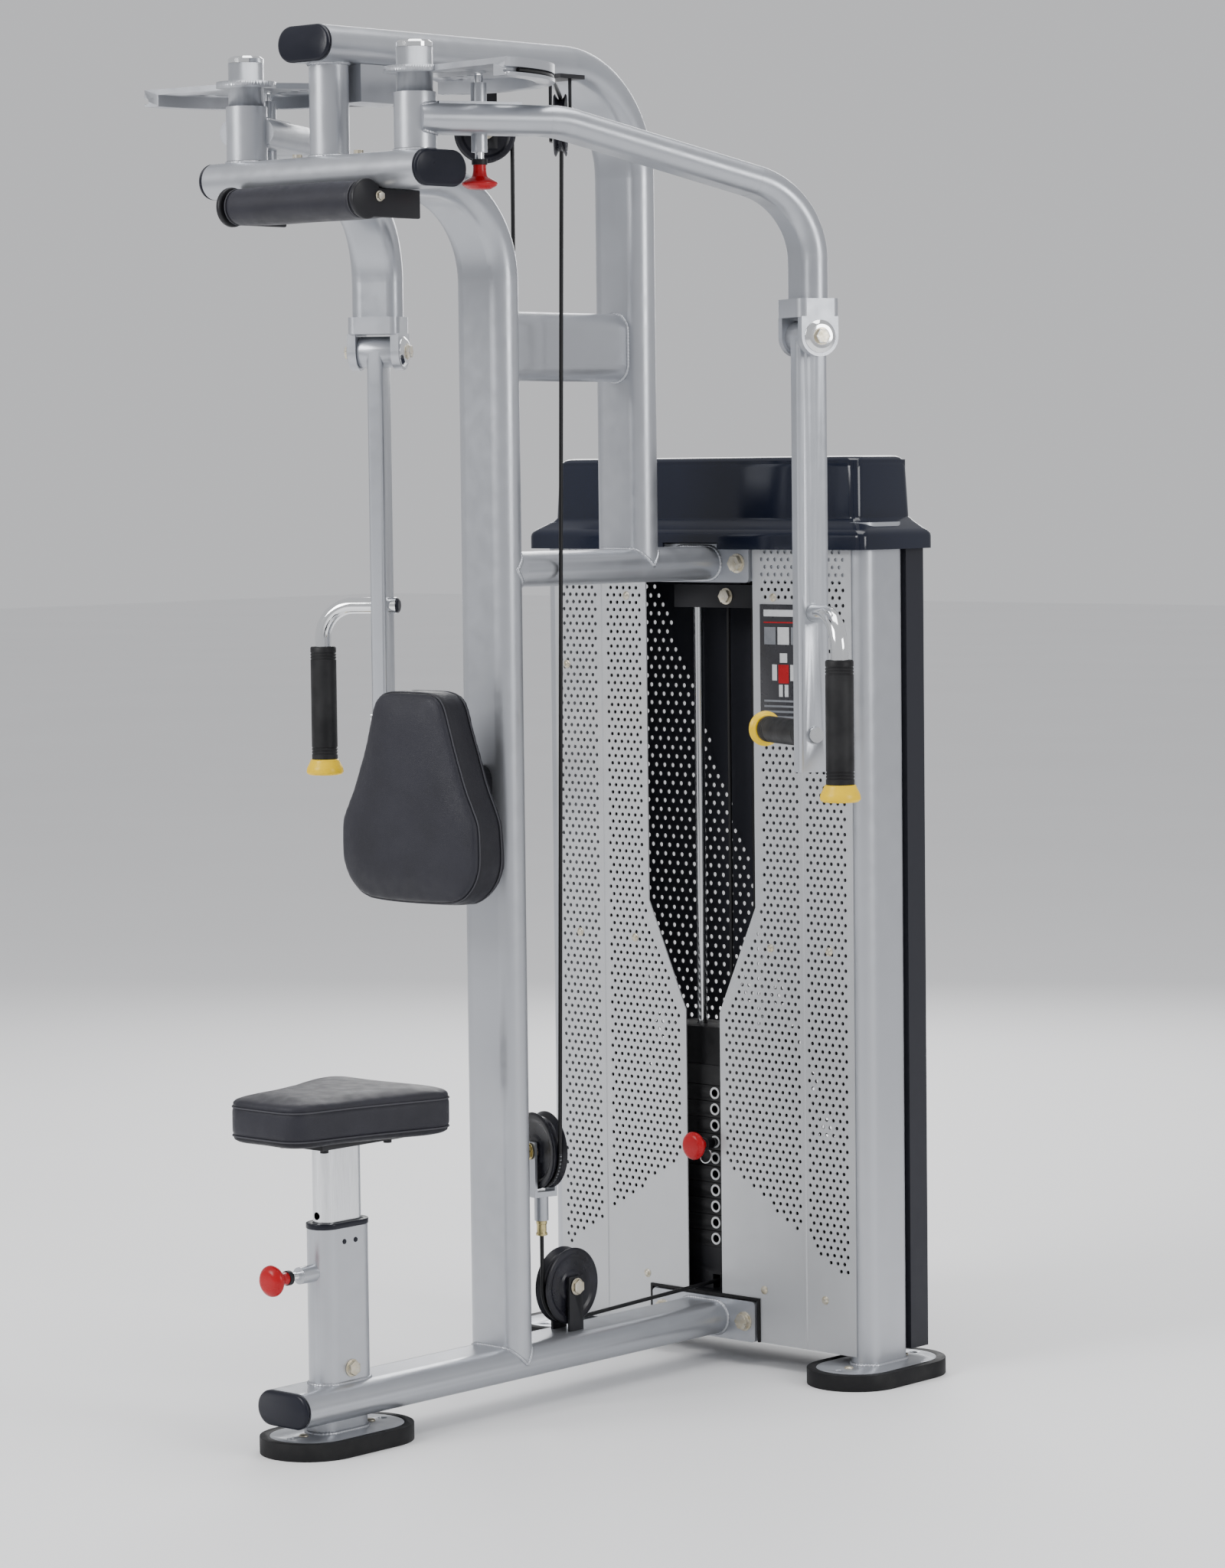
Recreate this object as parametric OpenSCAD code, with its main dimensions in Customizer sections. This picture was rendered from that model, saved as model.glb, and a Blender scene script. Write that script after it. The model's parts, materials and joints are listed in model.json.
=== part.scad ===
// Pec deck machine with one weight stack, two swinging arms and hanging handle bars.
// Millimetres, +Z up. The user sits at the front, towards -Y; X = 0 is the middle plane.

/* [Frame] */
// Height of the top of the top tube
frame_h = 1975; // [1900:5:2100]
// Long side of the flat-oval frame tube
tube_w = 100; // [90:1:110]
// Short side of the flat-oval frame tube
tube_t = 50; // [44:1:54]
// Wall of every frame tube
tube_wall = 3; // [2:0.5:5]
// Distance from the front of the base to the main upright's middle
main_y = 446; // [430:1:520]
// Distance from the front of the base to the rear upright's middle
rear_y = 743; // [700:1:780]
// Distance from the front of the base to the weight tower's middle
tower_y = 954; // [930:1:1100]
// Height of the base tube's middle
base_z = 67; // [60:1:80]
// Height of the upper cross tube's middle
cross_z = 1541; // [1450:1:1580]
// Height of the link tube's middle
link_z = 1219; // [1180:1:1240]
// Radius of the rear bend, on the tube's middle line
rear_bend_r = 160; // [130:1:180]
// Radius of the main upright's bend, on the tube's middle line
main_bend_r = 140; // [110:1:150]
// Thickness of the black end caps
cap_t = 8; // [5:1:12]

/* [Feet] */
// Length of a foot, front to back
foot_l = 246; // [220:1:280]
// Width of a foot
foot_w = 146; // [130:1:160]
// Height of a foot's rubber
foot_t = 24; // [20:1:30]
// Thickness of the steel foot plate
foot_plate_t = 10; // [6:1:12]
// Width of the rubber rim around the foot plate
foot_rim = 14; // [8:1:20]
// Distance between the two floor bolts of a foot
foot_bolt_gap = 180; // [160:1:190]
// Diameter of the floor bolt holes
foot_bolt_d = 12; // [8:1:14]
// Distance from the front of the base to the front foot's middle
front_foot_y = 107; // [100:1:130]

/* [Arms] */
// Height of the pivot beam's middle
beam_z = 1772; // [1740:1:1800]
// Distance from the front of the base to the pivot beam's middle
beam_y = 132; // [120:1:150]
// Half the length of the pivot beam, without its caps
beam_half = 206; // [200:1:240]
// Distance from the middle plane to an arm's pivot
pivot_x = 165; // [155:1:170]
// Diameter of the pivot shafts
pivot_shaft_d = 30; // [24:1:34]
// Outer diameter of the arm hubs
arm_hub_d = 58; // [50:1:64]
// Outer diameter of the cam hubs
cam_hub_d = 50; // [46:1:56]
// Radius of the cams, at the rim
cam_r = 190; // [170:1:195]
// Angle that each cam turns with the stack
cam_turn = 80; // [60:1:80]
// Width of the flat-oval arm tube
arm_w = 80; // [70:1:84]
// Height of the flat-oval arm tube
arm_t = 40; // [34:1:44]
// Distance from an arm's pivot to its knuckle
arm_reach = 580; // [560:1:640]
// Direction of the right arm at rest, from +X towards +Y
arm_angle = 63.3; // [60:0.1:66]
// Height of the arms' level part above the beam's middle
arm_rise = 68; // [66:1:72]
// Height of the knuckle pivots
knuckle_z = 1545; // [1500:1:1560]
// Distance from the knuckle pivot to the bottom of a handle bar
bar_l = 613; // [560:1:680]
// Long side of a handle bar's section
bar_w = 50; // [40:1:54]
// Short side of a handle bar's section
bar_t = 25; // [20:1:30]
// Diameter of the chrome handle tube
handle_d = 25; // [22:1:28]
// Distance from a handle bar's middle to its upright grip
grip_off = 97; // [85:1:110]
// Diameter of the grips
grip_d = 40; // [34:1:44]
// Length of the upright grips
grip_l = 174; // [120:1:180]
// Length of the inner level grips
inner_grip_l = 142; // [110:1:150]

/* [Seat] */
// Distance from the front of the base to the seat post's middle
seat_y = 113; // [105:1:130]
// Height of the top of the outer seat post
sleeve_top = 311; // [290:1:330]
// Long side of the inner seat post
post_w = 80; // [70:1:84]
// Short side of the inner seat post
post_t = 36; // [30:1:38]
// Height of the underside of the seat plate
seat_z = 430; // [420:1:450]
// Thickness of the seat pad
seat_pad_t = 64; // [50:1:80]
// Width of the seat pad at its front
seat_front_w = 156; // [140:1:190]
// Width of the seat pad at its back
seat_back_w = 262; // [240:1:300]
// Length of the seat pad, front to back
seat_l = 284; // [250:1:290]
// How far the seat goes down from here
seat_down = 50; // [25:25:50]
// How far the seat goes up from here
seat_up = 100; // [50:25:100]

/* [Back pad] */
// Height of the back pad's bottom
back_z = 742; // [700:1:780]
// Height of the back pad itself
back_h = 318; // [280:1:360]
// Width of the back pad at its widest
back_w = 286; // [260:1:320]
// Width of the back pad at its top
back_top_w = 150; // [130:1:180]
// Thickness of the back pad
back_t = 68; // [50:1:74]
// Gap between the back pad's board and the main upright
back_gap = 80; // [60:1:90]

/* [Tower] */
// Distance from the middle plane to a tower upright's middle
tower_x = 297; // [285:1:320]
// Height of the tower uprights
tower_h = 1280; // [1270:1:1300]
// Depth of the rear shroud behind the uprights
rear_depth = 42; // [40:1:60]
// Thickness of the shroud sheets
sheet_t = 2; // [1.5:0.5:3]
// Half the slot between the front shrouds, in its wide upper part
slot_wide = 107; // [100:1:115]
// Half the slot between the front shrouds, in its narrow lower part
slot_narrow = 34; // [28:1:40]
// Height of the cover's lower tier
cover_low_h = 44; // [38:1:50]
// Height of the cover's upper tier
cover_high_h = 94; // [80:1:110]

/* [Weights] */
// Width of a weight plate
plate_w = 250; // [220:1:256]
// Depth of a weight plate
plate_d = 86; // [76:1:88]
// Height of one weight plate with its gap
plate_pitch = 25; // [20:1:25]
// Number of plates under the head plate
plate_count = 10; // [6:1:10]
// Number of those plates that the selector pin lifts
plates_up = 4; // [2:1:5]
// Half the distance between the guide rods
rod_x = 60; // [54:1:70]
// Diameter of the guide rods
rod_d = 16; // [12:1:19]
// Height of the head plate with its cover
head_h = 88; // [70:1:95]
// Diameter of the steel cable
cable_d = 6; // [4:1:7]
// Outer radius of the two large pulleys
pulley_r = 57; // [56:1:58]
// Distance from the middle plane to the cable beside the top tube
run_x = 57; // [56:1:60]

/* [Hidden] */
$fn = 48;

// Gap between pieces that move past each other
clear = 0.3;
// Gap of a running fit, on the radius
fit = 0.05;

silver = [0.70, 0.71, 0.73];
navy = [0.10, 0.11, 0.16];
black = [0.07, 0.07, 0.08];
charcoal = [0.16, 0.16, 0.19];
red = [0.75, 0.10, 0.12];
chrome = [0.82, 0.83, 0.84];
zinc = [0.78, 0.74, 0.62];

half_t = tube_t / 2;
half_w = tube_w / 2;
top_z = frame_h - half_t;
base_top = base_z + half_t;
beam_top = beam_z + half_t;
beam_bottom = beam_z - half_t;

// Tower planes
upright_front = tower_y - half_w;
upright_back = tower_y + half_w;
shroud_back = upright_front - clear;
shroud_front = shroud_back - sheet_t;
flange_t = 8;
flange_front = upright_front - flange_t;
rail_d = 50;
rail_h = 56;
lower_rail_z = base_z + 3;
upper_rail_z = link_z + 1;
rear_plane = upright_back + rear_depth;

// Foot and origin
foot_end_y = tower_y - 6 + foot_l / 2;
rear_foot_y = tower_y - 6;
seat_front_y = seat_y - 13 - seat_l / 2;
mid_y = (foot_end_y + seat_front_y) / 2;

// Arms and cams
hub_low = beam_top + 3;
arm_z = beam_z + arm_rise;
hub_split = arm_z + 36;
hub_top = hub_split + 60;
cam_z = hub_split + 26;
cam_t = 8;
rim_h = 16;
rim_w = 26;
groove_r = cam_r - cable_d / 2 - 1;
groove_z = cam_z - rim_h / 2;
cam_from = -6;
// Rim beyond the part that the cable winds onto
cam_spare = 49;
cam_to = cam_from + cam_turn + cam_spare;
pin_r = 92;
bend_r = 115;
dip = 15;
dip_r = 150;
dip_start = 185;
knuckle_top = knuckle_z + 53;
cheek_gap = 56;
cheek_t = 13;
knuckle_w = 64;
barrel_r = 24;
pivot_pin_d = 16;
bar_bottom = knuckle_z - bar_l;
handle_z = bar_bottom + 225;
handle_bend = 50;
inner_grip_z = bar_bottom + 53;
grip_top = handle_z - 63;
flare_h = 25;

// Cables and pulleys
right_run_y = 544;
left_run_y = 562;
float_y = 534;
float_z = 366;
float_turn = -15;
large_groove = pulley_r - 4;
small_r = 45;
small_groove = 40;
redirect_z = groove_z - small_groove;
lower_y = float_y + large_groove;
lower_z = base_top + pulley_r + 9;
pulley_t = 26;
stack_y = upright_front + 24 + plate_d / 2;
cable_up_y = rear_plane - 18;
sheave_groove = 22;
sheave_r = 26;
sheave_z = 118 + sheave_groove;
sheave_y = cable_up_y - sheave_groove;
sheave_t = 18;
small_t = 20;
shelf_t = 5;
eye_h = 22;
crown_groove = (cable_up_y - stack_y) / 2;
crown_r = crown_groove + 5;
crown_y = (cable_up_y + stack_y) / 2;
crown_z = tower_h + cover_low_h / 2 - 4;
plates_bottom = 168;
plates_top = plates_bottom + plate_pitch * plate_count;
split_z = plates_bottom + plate_pitch * (plate_count - plates_up);
head_top = plates_top + head_h;
selector_z = split_z + plate_pitch / 2;
selector_rod_d = 22;
selector_pin_d = 10;
bracket_z = 1150;
bracket_h = 35;

// Level cable from a hanging run at [run_x, y] to the right cam: its length and its direction
function run_dist(y) = norm([pivot_x - run_x, beam_y - y]);
function run_len(y) = sqrt(run_dist(y) * run_dist(y) - groove_r * groove_r);
function run_angle(y) = atan2(beam_y - y, pivot_x - run_x) + asin(groove_r / run_dist(y));

// ---------- outlines ----------

module oval(l, w) {
    square([l - w, w], center = true);
    for (s = [-1, 1]) translate([s * (l - w) / 2, 0]) circle(d = w);
}

module oval_ring(l, w, wall) {
    difference() {
        oval(l, w);
        oval(l - 2 * wall, w - 2 * wall);
    }
}

// Rectangle with round corners
module round_box(l, w, r) {
    square([l - 2 * r, w], center = true);
    square([l, w - 2 * r], center = true);
    for (x = [-1, 1], y = [-1, 1])
        translate([x * (l / 2 - r), y * (w / 2 - r)]) circle(r = r);
}

// Upright prism on the outline drawn in X and Y
module along_z(h) { linear_extrude(height = h) children(); }

// Prism along +Y: the outline is drawn in X and Z
module along_y(l) { rotate([90, 0, 0]) mirror([0, 0, 1]) linear_extrude(height = l) children(); }

// Prism along +X: the outline is drawn in Y and Z
module along_x(l) { rotate([90, 0, 90]) linear_extrude(height = l) children(); }

// Bend in the Y-Z plane about a point; the outline is drawn as radial, then X
module bend_yz(y, z, r, from, to) {
    translate([0, y, z]) rotate([90, 0, 90]) rotate([0, 0, from])
        rotate_extrude(angle = to - from) translate([r, 0]) children();
}

// Bend in the X-Z plane about a point; the outline is drawn as radial, then Y
module bend_xz(x, z, r, from, to) {
    translate([x, 0, z]) rotate([90, 0, 0]) rotate([0, 0, from])
        rotate_extrude(angle = to - from) translate([r, 0]) children();
}

// Everything is laid out from the front of the base, then centred on the origin
module place() { translate([0, -mid_y, 0]) children(); }

// Both sides from the right-hand one
module both() {
    children();
    mirror([1, 0, 0]) children();
}

module rod(d, l) { cylinder(d = d, h = l); }

module hex_bolt(d, h) {
    cylinder(d = d * 2.1, h = 1.5);
    translate([0, 0, 1.5]) cylinder(d = d * 1.75, h = h, $fn = 6);
}

// ---------- fixed frame ----------

module base_outer() { along_y(flange_front) oval(tube_w, tube_t); }

module base_tube() {
    color(silver) place() {
        translate([0, cap_t, base_z]) along_y(flange_front - cap_t) oval_ring(tube_w, tube_t, tube_wall);
        // stub down to the front foot
        difference() {
            translate([0, front_foot_y, foot_t]) rotate([0, 0, 90]) along_z(base_z - foot_t)
                oval_ring(tube_w, tube_t, tube_wall);
            translate([0, 0, base_z]) base_outer();
        }
        // flange that bolts to the tower
        translate([0, flange_front, lower_rail_z - 3]) along_y(flange_t) round_box(206, 62, 6);
    }
}

module end_caps() {
    color(navy) place() {
        translate([0, 0, base_z]) along_y(cap_t) oval(tube_w, tube_t);
        translate([0, beam_y - half_w, top_z]) along_y(cap_t) oval(tube_w, tube_t);
        both() translate([beam_half, beam_y, beam_z]) along_x(cap_t) oval(tube_w, tube_t);
    }
}

module at_feet() {
    translate([0, front_foot_y, 0]) children();
    for (s = [-1, 1]) translate([s * tower_x, rear_foot_y, 0]) children();
}

module foot_holes() {
    for (s = [-1, 1]) translate([0, s * foot_bolt_gap / 2, -1]) rod(foot_bolt_d, foot_t + 2);
}

module foot_plates() {
    color(silver) place() at_feet() difference() {
        translate([0, 0, foot_t - foot_plate_t]) rotate([0, 0, 90])
            along_z(foot_plate_t) oval(foot_l - 2 * foot_rim, foot_w - 2 * foot_rim);
        foot_holes();
    }
}

module foot_pads() {
    color(black) place() at_feet() difference() {
        rotate([0, 0, 90]) along_z(foot_t) oval(foot_l, foot_w);
        translate([0, 0, foot_t - foot_plate_t]) rotate([0, 0, 90])
            along_z(foot_plate_t + 1) oval(foot_l - 2 * foot_rim, foot_w - 2 * foot_rim);
        foot_holes();
    }
}

main_bend_z = beam_z - main_bend_r;

module main_upright() {
    color(silver) place() {
        difference() {
            translate([0, main_y, base_z]) along_z(main_bend_z - base_z)
                oval_ring(tube_w, tube_t, tube_wall);
            translate([0, 0, base_z]) base_outer();
        }
        bend_yz(main_y - main_bend_r, main_bend_z, main_bend_r, 0, 90) rotate([0, 0, 90])
            oval_ring(tube_w, tube_t, tube_wall);
        difference() {
            translate([0, beam_y, beam_z]) along_y(main_y - main_bend_r - beam_y)
                oval_ring(tube_w, tube_t, tube_wall);
            translate([-beam_half, beam_y, beam_z]) along_x(2 * beam_half) oval(tube_w, tube_t);
        }
    }
}

rear_bend_z = top_z - rear_bend_r;

module top_tube() {
    color(silver) place() {
        front = beam_y - half_w + cap_t;
        translate([0, front, top_z]) along_y(rear_y - rear_bend_r - front)
            oval_ring(tube_w, tube_t, tube_wall);
        bend_yz(rear_y - rear_bend_r, rear_bend_z, rear_bend_r, 0, 90) rotate([0, 0, 90])
            oval_ring(tube_w, tube_t, tube_wall);
        difference() {
            translate([0, rear_y, link_z]) along_z(rear_bend_z - link_z)
                oval_ring(tube_w, tube_t, tube_wall);
            translate([0, main_y, link_z]) along_y(tower_y - main_y) oval(tube_w, tube_t);
        }
    }
}

module link_tubes() {
    color(silver) place() {
        gap = rear_y - main_y - tube_t;
        translate([0, main_y + half_t, cross_z]) along_y(gap) rotate([0, 0, 90])
            oval_ring(tube_w, tube_t, tube_wall);
        // the lower link runs on to the tower
        link_l = flange_front - main_y - half_t;
        translate([0, main_y + half_t, link_z]) along_y(link_l) oval_ring(tube_w, tube_t, tube_wall);
        translate([0, flange_front, link_z]) along_y(flange_t) round_box(208, 58, 6);
    }
}

module pivot_beam() {
    color(silver) place() translate([-beam_half, beam_y, beam_z])
        along_x(2 * beam_half) oval_ring(tube_w, tube_t, tube_wall);
}

post_d = 55;
stop_w = 60;

module centre_post() {
    color(silver) place() {
        translate([0, beam_y, beam_top]) difference() {
            rod(post_d, top_z - half_t - beam_top);
            translate([0, 0, -1]) rod(post_d - 8, frame_h);
        }
        // stop block for the cams
        translate([0, beam_y + post_d / 2 + 5, top_z - half_t - 52]) along_y(96) translate([0, 26])
            square([stop_w, 52], center = true);
    }
}

module pivot_shafts() {
    color(chrome) place() both() translate([pivot_x, beam_y, 0]) {
        translate([0, 0, beam_top]) rod(arm_hub_d, hub_low - beam_top - clear);
        translate([0, 0, beam_top]) rod(pivot_shaft_d, hub_top - beam_top + 2);
        translate([0, 0, hub_top + clear]) rod(cam_hub_d, 6);
        translate([0, 0, hub_top + clear + 6]) cylinder(d1 = cam_hub_d, d2 = cam_hub_d - 8, h = 3);
    }
}

// Rolled head pad under the front of the beam
roll_r = 27;
roll_y = beam_y - half_w - 13;
roll_z = beam_z - 40;
roll_half = 127;
block_top = beam_bottom - clear;

module roll_outline(r) {
    translate([roll_y, roll_z]) circle(r = r);
    translate([roll_y + 10, roll_z - r + 3]) square([92, block_top - roll_z + r - 3]);
}

module roller_pad() {
    color(navy) place() translate([-roll_half, 0, 0]) along_x(2 * roll_half) difference() {
        roll_outline(roll_r);
        translate([roll_y + 60, roll_z - 60]) square([80, 120]);
    }
}

module roller_bracket() {
    color(black) place() {
        both() translate([roll_half + clear, 0, 0]) along_x(8) roll_outline(roll_r + 0.5);
        translate([-roll_half, roll_y + 61, block_top - 6]) cube([2 * roll_half, 40, 6]);
    }
}

module tower_frame() {
    color(silver) place() {
        both() difference() {
            translate([tower_x, tower_y, foot_t]) rotate([0, 0, 90])
                along_z(tower_h - foot_t) oval_ring(tube_w, tube_t, tube_wall);
        }
        for (z = [lower_rail_z, upper_rail_z]) difference() {
            translate([-tower_x, upright_front, z - rail_h / 2]) cube([2 * tower_x, rail_d, rail_h]);
            translate([-tower_x, upright_front + 3, z - rail_h / 2 + 3])
                cube([2 * tower_x, rail_d - 6, rail_h - 6]);
            for (s = [-1, 1]) translate([s * tower_x, tower_y, z - rail_h]) rotate([0, 0, 90])
                along_z(2 * rail_h) oval(tube_w, tube_t);
        }
    }
}

shroud_low = 37;
shroud_high = tower_h - 26;
shroud_edge = tower_x - 1;
cut_x = 110;
cut_z = lower_rail_z + 34;
taper_low = 535;
taper_high = 700;

// Right-hand front sheet with the stepped slot edge
module shroud_outline() {
    polygon([
        [slot_wide, shroud_high], [slot_wide, taper_high], [slot_narrow, taper_low],
        [slot_narrow, cut_z], [cut_x, cut_z], [cut_x, shroud_low],
        [shroud_edge, shroud_low], [shroud_edge, shroud_high]
    ]);
}

module front_shroud() { translate([0, shroud_front, 0]) along_y(sheet_t) shroud_outline(); }

module left_shroud() { color(silver) place() mirror([1, 0, 0]) front_shroud(); }

module right_shroud() { color(silver) place() front_shroud(); }

module rear_shroud() {
    wide = tower_x + half_t - 3;
    front = upright_back + clear;
    high = shroud_high - shroud_low;
    color(navy) place() {
        translate([-wide, rear_plane - sheet_t, shroud_low]) cube([2 * wide, sheet_t, high]);
        both() {
            translate([wide - sheet_t, front, shroud_low]) cube([sheet_t, rear_plane - front, high]);
            // flange that is screwed to the upright
            translate([wide - 36, front, shroud_low]) cube([36, sheet_t, high]);
        }
    }
}

screw_places = [[147, 1168], [250, 642], [272, 1060], [118, 118], [237, 116], [136, 640]];

module shroud_screws() {
    color(zinc) place() both() for (p = screw_places)
        translate([p[0], shroud_front, p[1]]) rotate([90, 0, 0]) {
            cylinder(d = 13, h = 1);
            translate([0, 0, 1]) cylinder(d1 = 11, d2 = 6, h = 2.5);
        }
}

// Black edging around the opening for the base flange
module edge_trim() {
    trim = 4;
    color(black) place() translate([0, shroud_front - 3, 0]) along_y(sheet_t + 3 - clear) {
        for (s = [-1, 1]) translate([s * (cut_x - trim / 2 - clear), (cut_z + shroud_low) / 2])
            square([trim, cut_z - shroud_low], center = true);
        translate([0, cut_z - trim / 2 - clear]) square([2 * cut_x - 2 * clear, trim], center = true);
    }
}

cover_wall = 4;
cover_x = tower_x + 38;
cover_front = upright_front - 22;
cover_back = rear_plane + 8;
cover_low_z = tower_h + cover_wall - cover_low_h;
cover_step = 32;

module cover_tier(x, front, back, z, h) {
    translate([0, (front + back) / 2, z]) along_z(h) round_box(2 * x, back - front, 14);
}

module top_cover() {
    w = cover_wall;
    both_h = cover_low_h + cover_high_h;
    high_x = cover_x - cover_step;
    high_front = cover_front + 26;
    high_back = cover_back - 12;
    color(navy) place() difference() {
        union() {
            cover_tier(cover_x, cover_front, cover_back, cover_low_z, cover_low_h);
            cover_tier(high_x, high_front, high_back, cover_low_z, both_h);
        }
        cover_tier(cover_x - w, cover_front + w, cover_back - w, cover_low_z - 1, cover_low_h - w + 1);
        cover_tier(high_x - w, high_front + w, high_back - w, cover_low_z - 1, both_h - w + 1);
        // notch over the link tube
        translate([-half_w - 4, cover_front - 1, cover_low_z - 1])
            cube([tube_w + 8, 30, link_z + half_t + 5 - cover_low_z]);
    }
}

// ---------- weight stack ----------

base_shelf_z = lower_rail_z + rail_h / 2;

module guide_rods() {
    color(chrome) place() both() translate([rod_x, stack_y, base_shelf_z + 12])
        rod(rod_d, bracket_z + 20 - base_shelf_z - 12);
}

module rod_bracket() {
    back = upright_front + rail_d;
    color(navy) place() difference() {
        union() {
            translate([-85, stack_y - 28, bracket_z]) cube([170, 50, bracket_h]);
            translate([-40, back, bracket_z]) cube([80, 6, upper_rail_z + 20 - bracket_z]);
        }
        for (s = [-1, 1]) translate([s * rod_x, stack_y, bracket_z - 1])
            rod(rod_d + 2 * clear, 21 + clear);
        translate([0, stack_y, bracket_z - 1]) rod(cable_d + 8, 200);
    }
}

module stack_base() {
    color(black) place() difference() {
        union() {
            translate([-tower_x + half_t + 5, upright_front + 2, base_shelf_z])
                cube([2 * tower_x - tube_t - 10, stack_y + plate_d / 2 - upright_front - 2, shelf_t]);
            translate([-plate_w / 2 + 10, stack_y - plate_d / 2, base_shelf_z])
                cube([plate_w - 20, plate_d, plates_bottom - clear - base_shelf_z]);
        }
        for (s = [-1, 1]) translate([s * rod_x, stack_y, base_shelf_z + 12]) rod(rod_d + 2 * clear, 100);
        // pocket for the pulley and the cable under the stack
        translate([-18, sheave_y - sheave_r - 6, base_shelf_z + shelf_t]) cube([36, 200, 100]);
        translate([-7, 0, base_shelf_z + shelf_t]) cube([14, sheave_y, 22]);
    }
}

module one_plate(z, bore) {
    difference() {
        translate([0, stack_y, z]) along_z(plate_pitch - 1) round_box(plate_w, plate_d, 6);
        for (s = [-1, 1]) translate([s * rod_x, stack_y, z - 1]) rod(rod_d + 2, plate_pitch + 2);
        translate([0, stack_y, z - 1]) rod(bore, plate_pitch + 2);
        // selector hole from the front
        translate([0, stack_y, z + plate_pitch / 2]) rotate([90, 0, 0]) rod(selector_pin_d + 2, plate_d);
    }
}

module resting_plates() {
    color(black) place() for (i = [0 : plate_count - plates_up - 1])
        one_plate(plates_bottom + i * plate_pitch, selector_rod_d + 2);
}

module lifted_plates() {
    color(black) place() for (i = [plate_count - plates_up : plate_count - 1])
        one_plate(plates_bottom + i * plate_pitch + clear, selector_rod_d + 2);
}

module head_plate() {
    rod_bottom = plates_bottom + 8;
    color(black) place() difference() {
        union() {
            translate([0, stack_y, plates_top + clear]) along_z(30) round_box(plate_w, plate_d, 6);
            translate([0, stack_y, plates_top + 30]) along_z(head_h - 30)
                round_box(plate_w - 30, plate_d - 10, 14);
            translate([0, stack_y, rod_bottom]) rod(selector_rod_d, plates_top - rod_bottom + 10);
            translate([0, stack_y, head_top]) rod(18, eye_h);
        }
        for (s = [-1, 1]) translate([s * rod_x, stack_y, plates_top - 1]) rod(rod_d + 1, head_h + 4);
        for (i = [0 : plate_count - 1]) translate([0, stack_y, plates_bottom + (i + 0.5) * plate_pitch])
            rotate([90, 0, 0]) translate([0, 0, -20]) rod(selector_pin_d + 1, 40);
    }
}

knob_out = 52;

module selector_pin() {
    front = stack_y - plate_d / 2;
    color(red) place() translate([0, 0, selector_z]) {
        translate([0, front - knob_out, 0]) rotate([-90, 0, 0]) {
            translate([0, 0, 5]) rod(selector_pin_d, knob_out - 5 + plate_d / 2 + 10);
            translate([0, 0, 8]) rod(15, knob_out - 12);
            rotate_extrude() polygon([[0, -7], [16, -5], [22, 0], [20, 5], [9, 9], [0, 9]]);
        }
    }
}

module placard() {
    color(black) place() translate([122, shroud_front - 1.5 - clear, 972]) cube([92, 1.5, 186]);
}

// ---------- pulleys and cables ----------

// Pulley about Z with a groove for the cable
module pulley(r, groove, t) {
    lip = 3;
    bottom = groove - cable_d / 2 - clear;
    bore = axle_d / 2 + fit;
    rotate_extrude() polygon([
        [bore, -t / 2], [r, -t / 2], [r, -t / 2 + lip], [bottom, -cable_d / 2 - clear],
        [bottom, cable_d / 2 + clear], [r, t / 2 - lip], [r, t / 2], [bore, t / 2]
    ]);
}

axle_d = 12;
ear_t = 4;
ear_gap = 2;

// Places a piece drawn about Z with its axis along X
module side_axis(y, z) { translate([0, y, z]) rotate([0, 90, 0]) children(); }

module lower_pulley() { color(black) place() side_axis(lower_y, lower_z)
    pulley(pulley_r, large_groove, pulley_t); }

module tower_lower_pulley() { color(black) place() side_axis(sheave_y, sheave_z)
    pulley(sheave_r, sheave_groove, sheave_t); }

module tower_upper_pulley() { color(black) place() side_axis(crown_y, crown_z)
    pulley(crown_r, crown_groove, small_t); }

// The floating pulley's plane turns a little, so that both runs clear the tubes between them
module at_float() { translate([0, float_y, float_z]) rotate([0, 0, float_turn]) children(); }

module float_pulley() { color(black) place() at_float() rotate([90, 0, 0])
    pulley(pulley_r, large_groove, pulley_t); }

// Frame of the pulley that turns a level cable down at [run_x, y]: X points to the cam
module at_redirect(y) {
    translate([run_x, y, redirect_z]) rotate([0, 0, run_angle(y)]) translate([small_groove, 0, 0])
        children();
}

module redirect_pulley(y) { at_redirect(y) rotate([90, 0, 0]) pulley(small_r, small_groove, small_t); }

module right_redirect_pulley() { color(black) place() redirect_pulley(right_run_y); }

module left_redirect_pulley() { color(black) place() mirror([1, 0, 0]) redirect_pulley(left_run_y); }

// Two ears on both sides of a pulley of thickness t; the outline is drawn in X and Y
module ears(t) { for (s = [-1, 1]) translate([0, 0, s * (t / 2 + ear_gap + ear_t / 2) - ear_t / 2])
    linear_extrude(height = ear_t) children(); }

module axle(t) {
    half = t / 2 + ear_gap + ear_t + 2;
    translate([0, 0, -half]) rod(axle_d, 2 * half);
}

module redirect_bracket(y) {
    drop = top_z - half_t - redirect_z;
    at_redirect(y) rotate([90, 0, 0]) {
        ears(small_t) translate([-16, -24]) square([32, drop + 24 - 6]);
        axle(small_t);
    }
    // plate under the top tube that reaches out to the ears
    reach = run_x + 50;
    translate([2, y - 56, top_z - half_t - 6]) cube([reach - 2, 52, 6]);
}

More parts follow.
